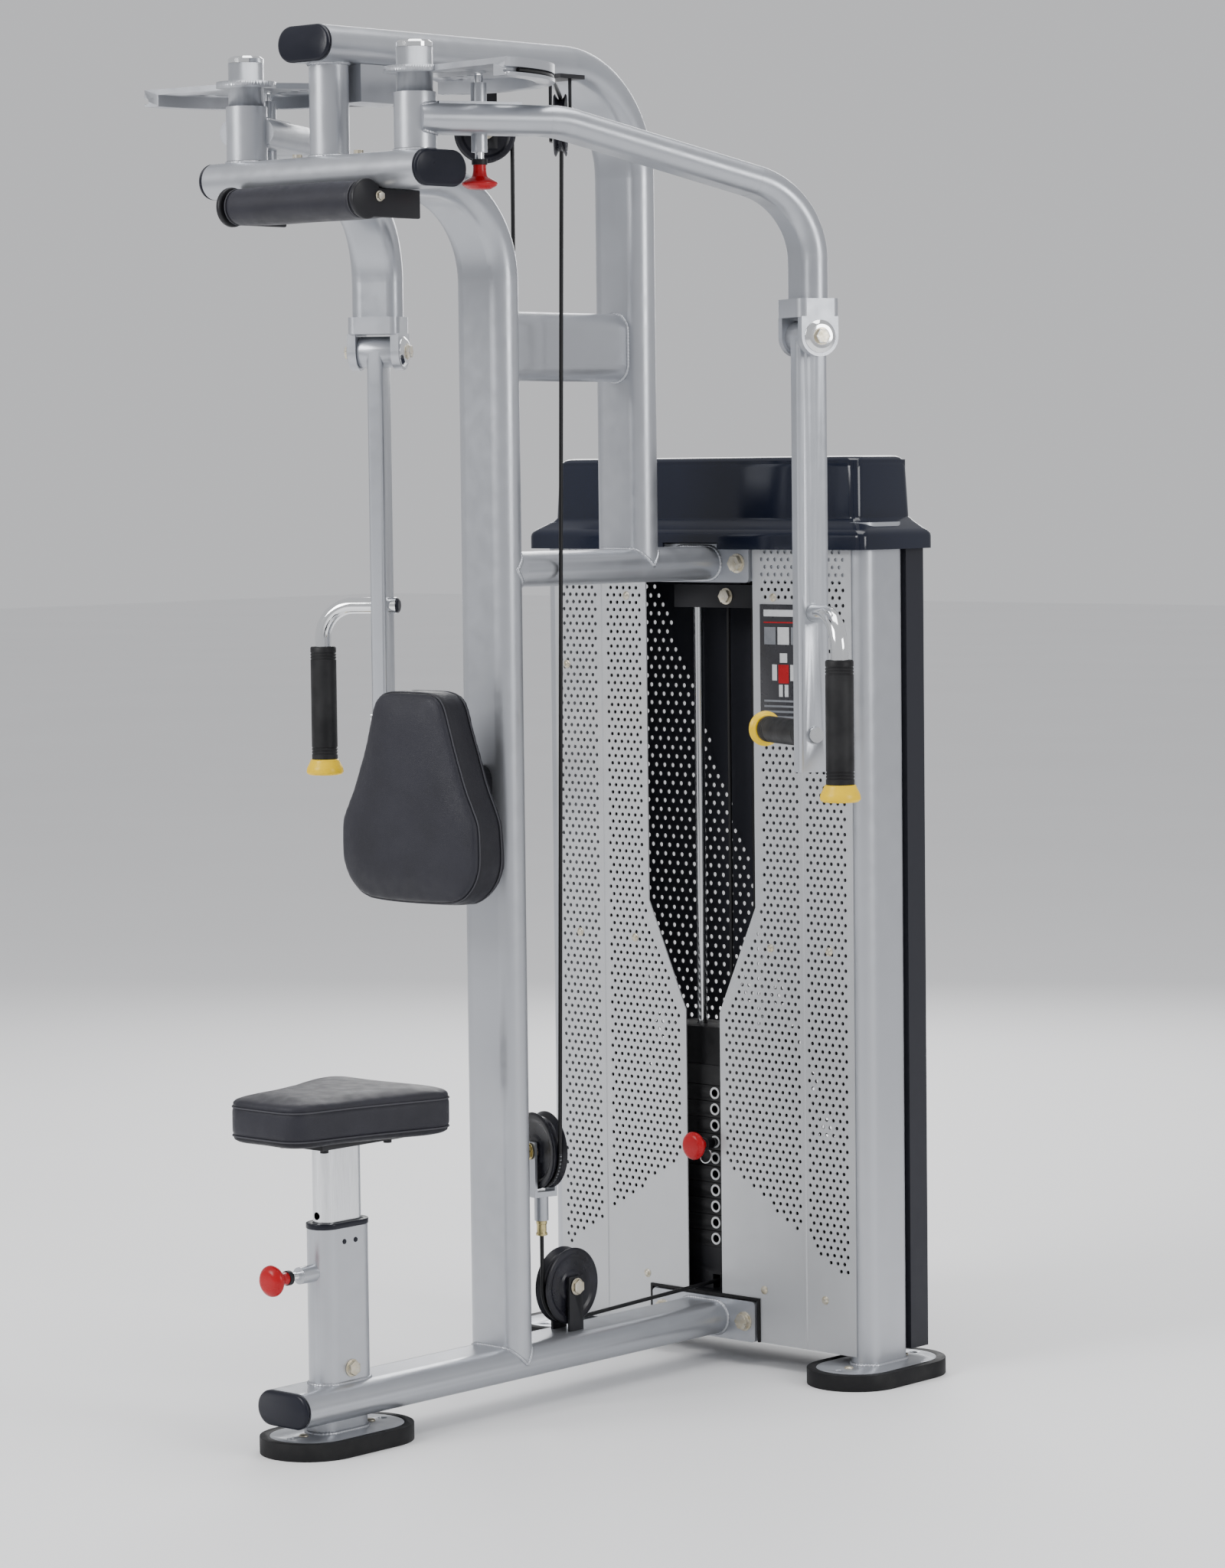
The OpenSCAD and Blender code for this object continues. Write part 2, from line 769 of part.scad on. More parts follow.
module pulley_brackets() {
    color(black) place() {
        redirect_bracket(right_run_y);
        mirror([1, 0, 0]) redirect_bracket(left_run_y);
        // ears on the base tube
        side_axis(lower_y, lower_z) {
            ears(pulley_t) translate([-15, -15]) square([15 + lower_z - base_top, 30]);
            axle(pulley_t);
        }
        // ears on the floor of the stack's base
        side_axis(sheave_y, sheave_z) {
            ears(sheave_t) translate([-6, -10]) square([6 + sheave_z - base_shelf_z - shelf_t, 30]);
            axle(sheave_t);
        }
        // ears on the upper rail
        side_axis(crown_y, crown_z) {
            ears(small_t) {
                translate([-12, -8]) square([24, 16]);
                translate([crown_z - upper_rail_z - rail_h / 2 - 30, upright_front + 30 - crown_y])
                    square([30, rail_d - 30]);
                translate([-12, upright_front + 30 - crown_y]) square([30, crown_y - upright_front - 24]);
            }
            axle(small_t);
        }
    }
}

// Straight cable between two points, a little short of each when something else moves there
module strand(a, b, short = 0) {
    v = b - a;
    l = norm(v);
    translate(a) rotate([0, acos(v[2] / l), atan2(v[1], v[0])]) translate([0, 0, short])
        rod(cable_d, l - 2 * short);
}

module cable_bend(y, z, r, from, to) { bend_yz(y, z, r, from, to) circle(d = cable_d); }

module level_run(y) {
    at_redirect(y) {
        translate([0, 0, small_groove]) rotate([0, 90, 0])
            rod(cable_d, run_len(y) - small_groove - clear);
        bend_xz(0, 0, small_groove, 90, 180) circle(d = cable_d);
    }
}

fitting_z = 240;

module fixed_cables() {
    color(black) place() {
        level_run(right_run_y);
        mirror([1, 0, 0]) level_run(left_run_y);
        // under the lower pulley, into the tower and up behind the stack
        cable_bend(lower_y, lower_z, large_groove, 180, 270);
        strand([0, lower_y, lower_z - large_groove], [0, sheave_y, sheave_z - sheave_groove]);
        cable_bend(sheave_y, sheave_z, sheave_groove, 270, 360);
        strand([0, cable_up_y, sheave_z], [0, cable_up_y, crown_z]);
        cable_bend(crown_y, crown_z, crown_groove, 0, 180);
    }
}

low_x = large_groove * cos(float_turn);
low_y = large_groove * sin(float_turn);

module arm_cable_runs() {
    color(black) place() {
        strand([low_x, float_y + low_y, float_z], [run_x, right_run_y, redirect_z], clear);
        strand([-low_x, float_y - low_y, float_z], [-run_x, left_run_y, redirect_z], clear);
    }
}

module weight_cable_drop() {
    color(black) place() strand([0, float_y, lower_z], [0, float_y, fitting_z], clear);
}

module stack_cable() {
    color(black) place() strand([0, stack_y, head_top + eye_h], [0, stack_y, crown_z], clear);
}

yoke_t = 8;
yoke_drop = pulley_r + 3;

module float_clevis() {
    color(silver) place() {
        at_float() {
            rotate([90, 0, 0]) {
                ears(pulley_t) translate([-14, -yoke_drop]) square([28, yoke_drop + 14]);
                axle(pulley_t);
            }
            depth = pulley_t + 2 * (ear_gap + ear_t);
            translate([-14, -depth / 2, -yoke_drop - yoke_t]) cube([28, depth, yoke_t]);
            // cable under the pulley
            bend_xz(0, 0, large_groove, 180, 360) circle(d = cable_d);
        }
        barrel_top = float_z - yoke_drop - yoke_t;
        translate([0, float_y, fitting_z + 22]) rod(21, barrel_top - fitting_z - 22);
        translate([0, float_y, fitting_z]) rod(14, 22);
    }
}

// ---------- seat and back ----------

seat_pad_z = seat_z + 8;

module seat_sleeve() {
    color(silver) place() difference() {
        union() {
            difference() {
                translate([0, seat_y, base_z]) rotate([0, 0, 90]) along_z(sleeve_top - base_z)
                    oval(tube_w, tube_t);
                translate([0, 0, base_z]) base_outer();
            }
            // boss for the pull pin
            translate([0, seat_y - half_w - 26, seat_pin_z]) rotate([-90, 0, 0]) rod(24, 40);
        }
        translate([0, seat_y, base_z + 20]) rotate([0, 0, 90]) along_z(sleeve_top)
            oval(post_w + 6, post_t + 6);
        translate([0, seat_y - half_w - 30, seat_pin_z]) rotate([-90, 0, 0]) rod(12 + 2 * fit, 50);
    }
}

// Plastic bush between the two seat posts
module seat_collar() {
    color(navy) place() difference() {
        union() {
            translate([0, seat_y, sleeve_top]) rotate([0, 0, 90]) along_z(8) oval(tube_w + 2, tube_t + 2);
            translate([0, seat_y, sleeve_top - 30]) rotate([0, 0, 90]) along_z(30)
                oval(post_w + 6 - 2 * clear, post_t + 6 - 2 * clear);
        }
        translate([0, seat_y, sleeve_top - 40]) rotate([0, 0, 90]) along_z(60)
            oval(post_w + 2 * clear, post_t + 2 * clear);
    }
}

post_bottom = base_top + seat_down + 12;
seat_pin_z = 250;
seat_step = 25;

module seat_post() {
    color(silver) place() difference() {
        translate([0, seat_y, post_bottom]) rotate([0, 0, 90]) along_z(seat_z - post_bottom)
            oval_ring(post_w, post_t, tube_wall);
        for (i = [1 - seat_up / seat_step : 1 + seat_down / seat_step])
            translate([0, seat_y - post_w / 2 - 1, seat_pin_z + i * seat_step + 4])
            rotate([-90, 0, 0]) rod(11, 12);
    }
}

module seat_plate() {
    color(black) place() {
        translate([-55, seat_y - 80, seat_z]) cube([110, 160, 7.6]);
        for (x = [-1, 1], y = [-1, 1]) translate([x * 40, seat_y + y * 62, seat_z]) mirror([0, 0, 1])
            rod(12, 6);
    }
}

// Trapezoid with round corners, narrow end first, drawn from four circles
module round_trapezoid(w0, w1, l, r) {
    hull() {
        for (s = [-1, 1]) {
            translate([s * (w0 / 2 - r), r]) circle(r = r, $fn = 32);
            translate([s * (w1 / 2 - r), l - r]) circle(r = r, $fn = 32);
        }
    }
}

module seat_pad() {
    color(charcoal) place() translate([0, seat_front_y, seat_pad_z])
        along_z(seat_pad_t) round_trapezoid(seat_front_w, seat_back_w, seat_l, 34);
}

knob_front = -26;

module seat_pin() {
    color(red) place() translate([0, 0, seat_pin_z]) {
        tip = seat_y - post_w / 2 - clear;
        translate([0, knob_front + 10, 0]) rotate([-90, 0, 0]) rod(12, tip - knob_front - 10);
        translate([0, knob_front, 0]) rotate([-90, 0, 0])
            rotate_extrude()
                polygon([[0, 0], [14, 1], [21, 6], [23, 12], [20, 17], [10, 26], [9, 46], [0, 46]]);
    }
}

board_t = 12;
back_front_y = main_y - half_t - back_gap - board_t - back_t;

module back_pad() {
    color(charcoal) place() translate([0, back_front_y, back_z]) along_y(back_t) hull() {
        for (s = [-1, 1]) {
            translate([s * (back_w / 2 - 74), 74]) circle(r = 74, $fn = 32);
            translate([s * (back_w / 2 - 60), 110]) circle(r = 60, $fn = 32);
            translate([s * (back_top_w / 2 - 36), back_h - 36]) circle(r = 36, $fn = 32);
        }
    }
}

module back_pad_bracket() {
    color(black) place() {
        translate([0, back_front_y + back_t + clear, back_z + 158]) along_y(board_t - clear)
            square([110, 220], center = true);
        translate([0, main_y - half_t - back_gap, back_z + 158]) along_y(back_gap - clear)
            rotate([0, 0, 90]) oval(80, 40);
    }
}

module frame_bolts() {
    color(zinc) place() {
        for (s = [-1, 1]) {
            translate([s * 82, flange_front, base_z]) rotate([90, 0, 0]) hex_bolt(14, 8);
            translate([s * 82, flange_front, link_z]) rotate([90, 0, 0]) hex_bolt(14, 8);
            translate([s * 60, beam_y - 4, beam_top]) hex_bolt(8, 5);
        }
        translate([half_t, seat_y, base_top + 20]) rotate([0, 90, 0]) hex_bolt(12, 6);
        translate([20, stack_y - 28, bracket_z + bracket_h / 2]) rotate([90, 0, 0]) hex_bolt(12, 6);
        for (s = [-1, 1]) translate([s * (roll_half + 8 + clear), roll_y + 22, roll_z + 4])
            rotate([0, s * 90, 0]) hex_bolt(7, 4);
    }
}

// ---------- cams and arms: drawn for the right-hand side ----------

module at_pivot() { translate([pivot_x, beam_y, 0]) children(); }

module sector(r, from, to, h) {
    rotate([0, 0, from]) rotate_extrude(angle = to - from) square([r, h]);
}

module cam() {
    at_pivot() difference() {
        union() {
            translate([0, 0, hub_split]) rod(cam_hub_d, hub_top - hub_split);
            translate([0, 0, cam_z]) sector(cam_r, cam_from, cam_to, cam_t);
            translate([0, 0, cam_z]) rod(84, cam_t);
            // grooved rim
            rotate([0, 0, cam_from]) rotate_extrude(angle = cam_to - cam_from) difference() {
                translate([cam_r - rim_w, cam_z - rim_h]) square([rim_w, rim_h + 1]);
                translate([groove_r + 1.5 - clear, groove_z]) circle(d = cable_d + 3);
            }
            // clamp that holds the cable's end
            rotate([0, 0, cam_from + 8]) translate([cam_r - 34, -10, cam_z + cam_t]) cube([24, 20, 22]);
            rotate([0, 0, 56]) translate([cam_r - 30, -15, cam_z + cam_t]) cube([8, 30, 14]);
        }
        translate([0, 0, hub_split - 1]) rod(pivot_shaft_d + 2 * fit, 200);
        // start-position holes
        for (i = [-2 : 3]) rotate([0, 0, arm_angle + i * 14]) translate([pin_r, 0, cam_z - 1])
            rod(12, cam_t + 2);
        for (a = [20, 60, 100]) rotate([0, 0, a]) translate([136, 0, cam_z - 1]) rod(30, cam_t + 2);
    }
}

// Cable that lies in the rim, from its clamp to where it leaves for the redirect pulley
module cam_cable(y) {
    leave = run_angle(y) + 90;
    at_pivot() translate([0, 0, groove_z]) rotate([0, 0, cam_from + 8])
        rotate_extrude(angle = leave - cam_from - 8) translate([groove_r, 0]) circle(d = cable_d);
}

module right_cam() {
    color(silver) place() {
        cam();
        cam_cable(right_run_y);
    }
}

module left_cam() {
    color(silver) place() mirror([1, 0, 0]) {
        cam();
        cam_cable(left_run_y);
    }
}

// Bends stand a little proud of the straight lengths, which run a little way into them
bend_grow = 0.4;
lap = 1;

module arm_length(l) { translate([-lap, 0, 0]) along_x(l + 2 * lap) oval(arm_w, arm_t); }

slope_l = (arm_reach - dip_start - dip_r * sin(dip) - bend_r * (1 - sin(dip))) / cos(dip);
elbow_z = arm_z - dip_r * (1 - cos(dip)) - slope_l * sin(dip) - bend_r * cos(dip);

// Bend from +X down by an angle; what follows is drawn from its end, again along +X
module turn_down(r, angle) {
    bend_xz(0, -r, r, 90 - angle, 90) rotate([0, 0, 90]) oval(arm_w + bend_grow, arm_t + bend_grow);
    translate([0, 0, -r]) rotate([0, angle, 0]) translate([0, 0, r]) children();
}

// Arm in its own plane: X runs out from the pivot
module arm_plane() { at_pivot() rotate([0, 0, arm_angle]) children(); }

module arm() {
    arm_plane() {
        difference() {
            union() {
                translate([0, 0, hub_low]) rod(arm_hub_d, hub_split - clear - hub_low);
                translate([0, 0, arm_z]) arm_length(dip_start);
                translate([30, -13, arm_z + arm_t / 2 - 4]) cube([120, 26, 8]);
                translate([pin_r, 0, arm_z - arm_t / 2 - 24]) rod(22, arm_t + 24 + 30);
            }
            translate([0, 0, hub_low - 1]) rod(pivot_shaft_d + 2 * fit, 200);
            translate([pin_r, 0, arm_z - 100]) rod(12 + 2 * fit, 300);
        }
        translate([dip_start, 0, arm_z]) turn_down(dip_r, dip) {
            arm_length(slope_l);
            translate([slope_l, 0, 0]) turn_down(bend_r, 90 - dip) arm_length(elbow_z - knuckle_top);
        }
        knuckle();
    }
}

module knuckle() {
    out = cheek_gap / 2 + cheek_t;
    translate([arm_reach, 0, 0]) {
        translate([0, 0, knuckle_z + 27]) along_z(knuckle_top - knuckle_z - 27)
            round_box(knuckle_w, 2 * out, 12);
        for (s = [-1, 1]) translate([0, s * (cheek_gap / 2 + cheek_t / 2), knuckle_z])
            rotate([90, 0, 0]) translate([0, 0, -cheek_t / 2]) {
            rod(knuckle_w - 8, cheek_t);
            translate([-knuckle_w / 2 + 4, 0, 0]) cube([knuckle_w - 8, 28, cheek_t]);
        }
        translate([0, out + 9, knuckle_z]) rotate([90, 0, 0]) rod(pivot_pin_d, 2 * out + 18);
        for (s = [-1, 1]) translate([0, s * out, knuckle_z]) rotate([-s * 90, 0, 0]) {
            cylinder(d1 = 46, d2 = 34, h = 5);
            translate([0, 0, 5]) cylinder(d = 21, h = 7, $fn = 6);
        }
    }
}

module right_arm() { color(silver) place() arm(); }

module left_arm() { color(silver) place() mirror([1, 0, 0]) arm(); }

module pull_pin() {
    low = arm_z - arm_t / 2 - 75;
    arm_plane() translate([pin_r, 0, 0]) {
        translate([0, 0, low + 10]) rod(12, cam_z - clear - low - 10);
        translate([0, 0, low]) rotate_extrude()
            polygon([[0, 0], [14, 1], [24, 7], [25, 11], [17, 16], [10, 18], [9, 42], [0, 42]]);
    }
}

module right_pull_pin() { color(red) place() pull_pin(); }

module left_pull_pin() { color(red) place() mirror([1, 0, 0]) pull_pin(); }

module bar() {
    arm_plane() translate([arm_reach, 0, 0]) difference() {
        union() {
            translate([0, cheek_gap / 2 - clear, knuckle_z]) rotate([90, 0, 0])
                rod(2 * barrel_r, cheek_gap - 2 * clear);
            translate([0, 0, bar_bottom]) along_z(bar_l) round_box(bar_w - 2, bar_t, 6);
        }
        translate([0, cheek_gap, knuckle_z]) rotate([90, 0, 0]) rod(pivot_pin_d + 2 * fit, 2 * cheek_gap);
        translate([0, 60, handle_z]) rotate([90, 0, 0]) rod(handle_d, 120);
        translate([0, 60, inner_grip_z]) rotate([90, 0, 0]) rod(handle_d - 3, 120);
    }
}

module right_bar() { color(silver) place() bar(); }

module left_bar() { color(silver) place() mirror([1, 0, 0]) bar(); }

// Outward is -Y in the right arm's plane
module handles() {
    arm_plane() translate([arm_reach, 0, 0]) {
        straight = grip_off - handle_bend;
        translate([0, 24, handle_z]) rotate([90, 0, 0]) rod(handle_d, 24 + straight);
        bend_yz(-straight, handle_z - handle_bend, handle_bend, 90, 180) circle(d = handle_d);
        translate([0, -grip_off, grip_top - grip_l])
            rod(handle_d, handle_z - handle_bend - grip_top + grip_l);
        translate([0, -bar_t / 2 - 6, inner_grip_z]) rotate([-90, 0, 0])
            rod(handle_d - 3, bar_t + 6 + inner_grip_l);
    }
}

module right_handles() { color(chrome) place() handles(); }

module left_handles() { color(chrome) place() mirror([1, 0, 0]) handles(); }

module grips() {
    arm_plane() translate([arm_reach, 0, 0]) {
        translate([0, -grip_off, grip_top - grip_l]) difference() {
            rod(grip_d, grip_l);
            translate([0, 0, -1]) rod(handle_d, grip_l + 2);
        }
        translate([0, -grip_off, grip_top - grip_l - flare_h])
            cylinder(d1 = grip_d + 18, d2 = grip_d + 6, h = flare_h - clear);
        translate([0, bar_t / 2 + 1, inner_grip_z]) rotate([-90, 0, 0]) {
            difference() {
                rod(grip_d - 2, inner_grip_l - 1);
                translate([0, 0, -1]) rod(handle_d - 3, inner_grip_l + 2);
            }
            translate([0, 0, inner_grip_l]) cylinder(d1 = grip_d + 2, d2 = grip_d + 10, h = 12);
        }
    }
}

module right_grips() { color(black) place() grips(); }

module left_grips() { color(black) place() mirror([1, 0, 0]) grips(); }

base_tube();
end_caps();
foot_plates();
foot_pads();
main_upright();
top_tube();
link_tubes();
pivot_beam();
centre_post();
pivot_shafts();
roller_pad();
roller_bracket();
tower_frame();
left_shroud();
right_shroud();
rear_shroud();
shroud_screws();
edge_trim();
top_cover();
guide_rods();
rod_bracket();
stack_base();
resting_plates();
placard();
pulley_brackets();
back_pad();
back_pad_bracket();
seat_sleeve();
seat_collar();
frame_bolts();
fixed_cables();
arm_cable_runs();
weight_cable_drop();
stack_cable();
lower_pulley();
right_redirect_pulley();
left_redirect_pulley();
tower_lower_pulley();
tower_upper_pulley();
seat_post();
seat_pad();
seat_plate();
seat_pin();
float_clevis();
float_pulley();
head_plate();
lifted_plates();
selector_pin();
right_cam();
left_cam();
right_arm();
left_arm();
right_pull_pin();
left_pull_pin();
right_bar();
left_bar();
right_handles();
left_handles();
right_grips();
left_grips();
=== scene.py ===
import json
import math

import bmesh
import bpy
import numpy as np
from mathutils import Matrix, Vector, geometry, noise
from mathutils.bvhtree import BVHTree


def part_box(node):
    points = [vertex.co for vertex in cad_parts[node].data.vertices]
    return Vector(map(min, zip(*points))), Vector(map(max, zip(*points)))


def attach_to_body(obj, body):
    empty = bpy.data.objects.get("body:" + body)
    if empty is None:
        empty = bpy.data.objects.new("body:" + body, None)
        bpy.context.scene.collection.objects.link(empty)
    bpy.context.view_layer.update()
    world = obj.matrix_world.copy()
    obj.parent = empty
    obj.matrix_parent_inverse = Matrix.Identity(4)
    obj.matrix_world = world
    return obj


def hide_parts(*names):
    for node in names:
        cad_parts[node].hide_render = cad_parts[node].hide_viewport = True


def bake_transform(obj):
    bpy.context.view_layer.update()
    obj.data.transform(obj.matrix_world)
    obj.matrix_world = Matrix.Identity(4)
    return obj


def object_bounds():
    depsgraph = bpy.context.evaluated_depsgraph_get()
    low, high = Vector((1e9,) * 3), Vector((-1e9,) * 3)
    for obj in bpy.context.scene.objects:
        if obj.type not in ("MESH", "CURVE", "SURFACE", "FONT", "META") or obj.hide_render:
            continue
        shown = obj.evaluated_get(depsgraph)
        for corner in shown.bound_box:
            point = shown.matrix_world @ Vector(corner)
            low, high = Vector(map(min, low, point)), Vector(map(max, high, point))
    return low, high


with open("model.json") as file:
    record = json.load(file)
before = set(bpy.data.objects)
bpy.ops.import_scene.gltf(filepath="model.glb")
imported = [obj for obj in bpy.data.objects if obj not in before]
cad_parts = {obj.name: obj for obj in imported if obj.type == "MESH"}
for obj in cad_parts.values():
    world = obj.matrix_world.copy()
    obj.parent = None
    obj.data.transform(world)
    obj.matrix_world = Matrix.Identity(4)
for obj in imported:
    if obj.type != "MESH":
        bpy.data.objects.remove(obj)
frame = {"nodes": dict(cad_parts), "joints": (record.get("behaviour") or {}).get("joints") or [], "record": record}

CAD_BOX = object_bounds()
NODES = frame["nodes"]
JOINTS = {j["name"]: j for j in frame["joints"]}
BODY_OF = {n: b for b, members in frame["record"]["behaviour"]["bodies"].items() for n in members}
MM = 0.001


# ---------------------------------------------------------------- camera

def make_camera():
    """The photograph's angle: 42 degrees to the right of the front, 4 degrees down."""
    turn, pitch, roll = math.radians(41.88), math.radians(4.063), math.radians(-0.66)
    look = Vector((-math.sin(turn) * math.cos(pitch), math.cos(turn) * math.cos(pitch), -math.sin(pitch)))
    right = Vector((math.cos(turn), math.sin(turn), 0))
    up = right.cross(look)
    right, up = (right * math.cos(roll) + up * math.sin(roll), up * math.cos(roll) - right * math.sin(roll))
    data = bpy.data.cameras.new("camera")
    data.sensor_fit = "VERTICAL"
    data.sensor_height = 36
    data.lens = 103.5
    data.clip_end = 60
    camera = bpy.data.objects.new("camera", data)
    bpy.context.scene.collection.objects.link(camera)
    axes = Matrix((right, up, -look)).transposed().to_4x4()
    camera.matrix_world = Matrix.Translation((4.4685, -4.7969, 1.3704)) @ axes
    bpy.context.scene.camera = camera


make_camera()


# ---------------------------------------------------------------- materials

class Shader:
    """A Principled material with its nodes added one detail at a time."""

    def __init__(self, name, color, metallic=0.0, roughness=0.4, **sockets):
        self.material = bpy.data.materials.new(name)
        self.material.use_nodes = True
        self.material.diffuse_color = (*color, 1)
        self.nodes = self.material.node_tree.nodes
        self.links = self.material.node_tree.links
        self.principled = self.nodes["Principled BSDF"]
        self.color = color
        self.roughness = roughness
        self.set("Base Color", (*color, 1))
        self.set("Metallic", metallic)
        self.set("Roughness", roughness)
        for socket, value in sockets.items():
            self.set(socket.replace("_", " "), value)
        self.where = self.nodes.new("ShaderNodeTexCoord").outputs["Object"]
        self.normal = None

    def set(self, socket, value):
        self.principled.inputs[socket].default_value = value

    def stretched(self, scale):
        mapping = self.nodes.new("ShaderNodeMapping")
        mapping.inputs["Scale"].default_value = scale
        self.links.new(self.where, mapping.inputs["Vector"])
        return mapping.outputs["Vector"]

    def noise(self, scale, detail=3.0, vector=None, rough=0.5):
        node = self.nodes.new("ShaderNodeTexNoise")
        node.inputs["Scale"].default_value = scale
        node.inputs["Detail"].default_value = detail
        node.inputs["Roughness"].default_value = rough
        self.links.new(vector or self.where, node.inputs["Vector"])
        return node.outputs["Fac"]

    def cells(self, scale, feature="DISTANCE_TO_EDGE", vector=None):
        node = self.nodes.new("ShaderNodeTexVoronoi")
        node.feature = feature
        node.inputs["Scale"].default_value = scale
        self.links.new(vector or self.where, node.inputs["Vector"])
        return node.outputs["Distance"]

    def waves(self, scale, axis="Z", vector=None):
        node = self.nodes.new("ShaderNodeTexWave")
        node.bands_direction = axis
        node.inputs["Scale"].default_value = scale
        self.links.new(vector or self.where, node.inputs["Vector"])
        return node.outputs["Fac"]

    def range(self, value, low, high, start=0.0, end=1.0):
        node = self.nodes.new("ShaderNodeMapRange")
        for socket, number in (("From Min", start), ("From Max", end), ("To Min", low), ("To Max", high)):
            node.inputs[socket].default_value = number
        self.links.new(value, node.inputs["Value"])
        return node.outputs["Result"]

    def tint(self, value, other, amount=1.0, start=0.35, end=0.65):
        """Base colour drifts towards another colour where the value is high."""
        node = self.nodes.new("ShaderNodeMix")
        node.data_type = "RGBA"
        source = self.principled.inputs["Base Color"]
        if source.links:
            self.links.new(source.links[0].from_socket, node.inputs["A"])
        else:
            node.inputs["A"].default_value = (*self.color, 1)
        node.inputs["B"].default_value = (*other, 1)
        self.links.new(self.range(value, 0, amount, start, end), node.inputs["Factor"])
        self.links.new(node.outputs["Result"], source)
        return self

    def rough(self, value, spread, start=0.3, end=0.7):
        low = max(0.02, self.roughness - spread)
        self.links.new(self.range(value, low, self.roughness + spread, start, end),
                       self.principled.inputs["Roughness"])
        return self

    def bump(self, value, strength, depth):
        node = self.nodes.new("ShaderNodeBump")
        node.inputs["Strength"].default_value = strength
        node.inputs["Distance"].default_value = depth
        self.links.new(value, node.inputs["Height"])
        if self.normal is not None:
            self.links.new(self.normal, node.inputs["Normal"])
        self.normal = node.outputs["Normal"]
        self.links.new(self.normal, self.principled.inputs["Normal"])
        return self

    def paint_edge_highlight(self, other, amount=0.5, radius=0.52):
        """Convex edges are painted a little brighter: a painted highlight where the edges catch the light."""
        point = self.nodes.new("ShaderNodeNewGeometry").outputs["Pointiness"]
        return self.tint(point, other, amount, radius, radius + 0.06)


def powder_coat(name, color, metallic, roughness, edge):
    shader = Shader(name, color, metallic, roughness)
    if max(color) < 0.1:
        shader.set("Specular IOR Level", 0.28)
    lighter = tuple(min(1, c * 1.06) for c in color)
    shader.tint(shader.noise(6, 4), lighter, 0.7)
    shader.rough(shader.noise(45, 4), 0.05)
    shader.bump(shader.noise(900, 2), 0.10, 0.0006)
    # painted highlight: convex edges are tinted towards the lighter edge colour
    shader.paint_edge_highlight(edge, 0.25)
    return shader.material


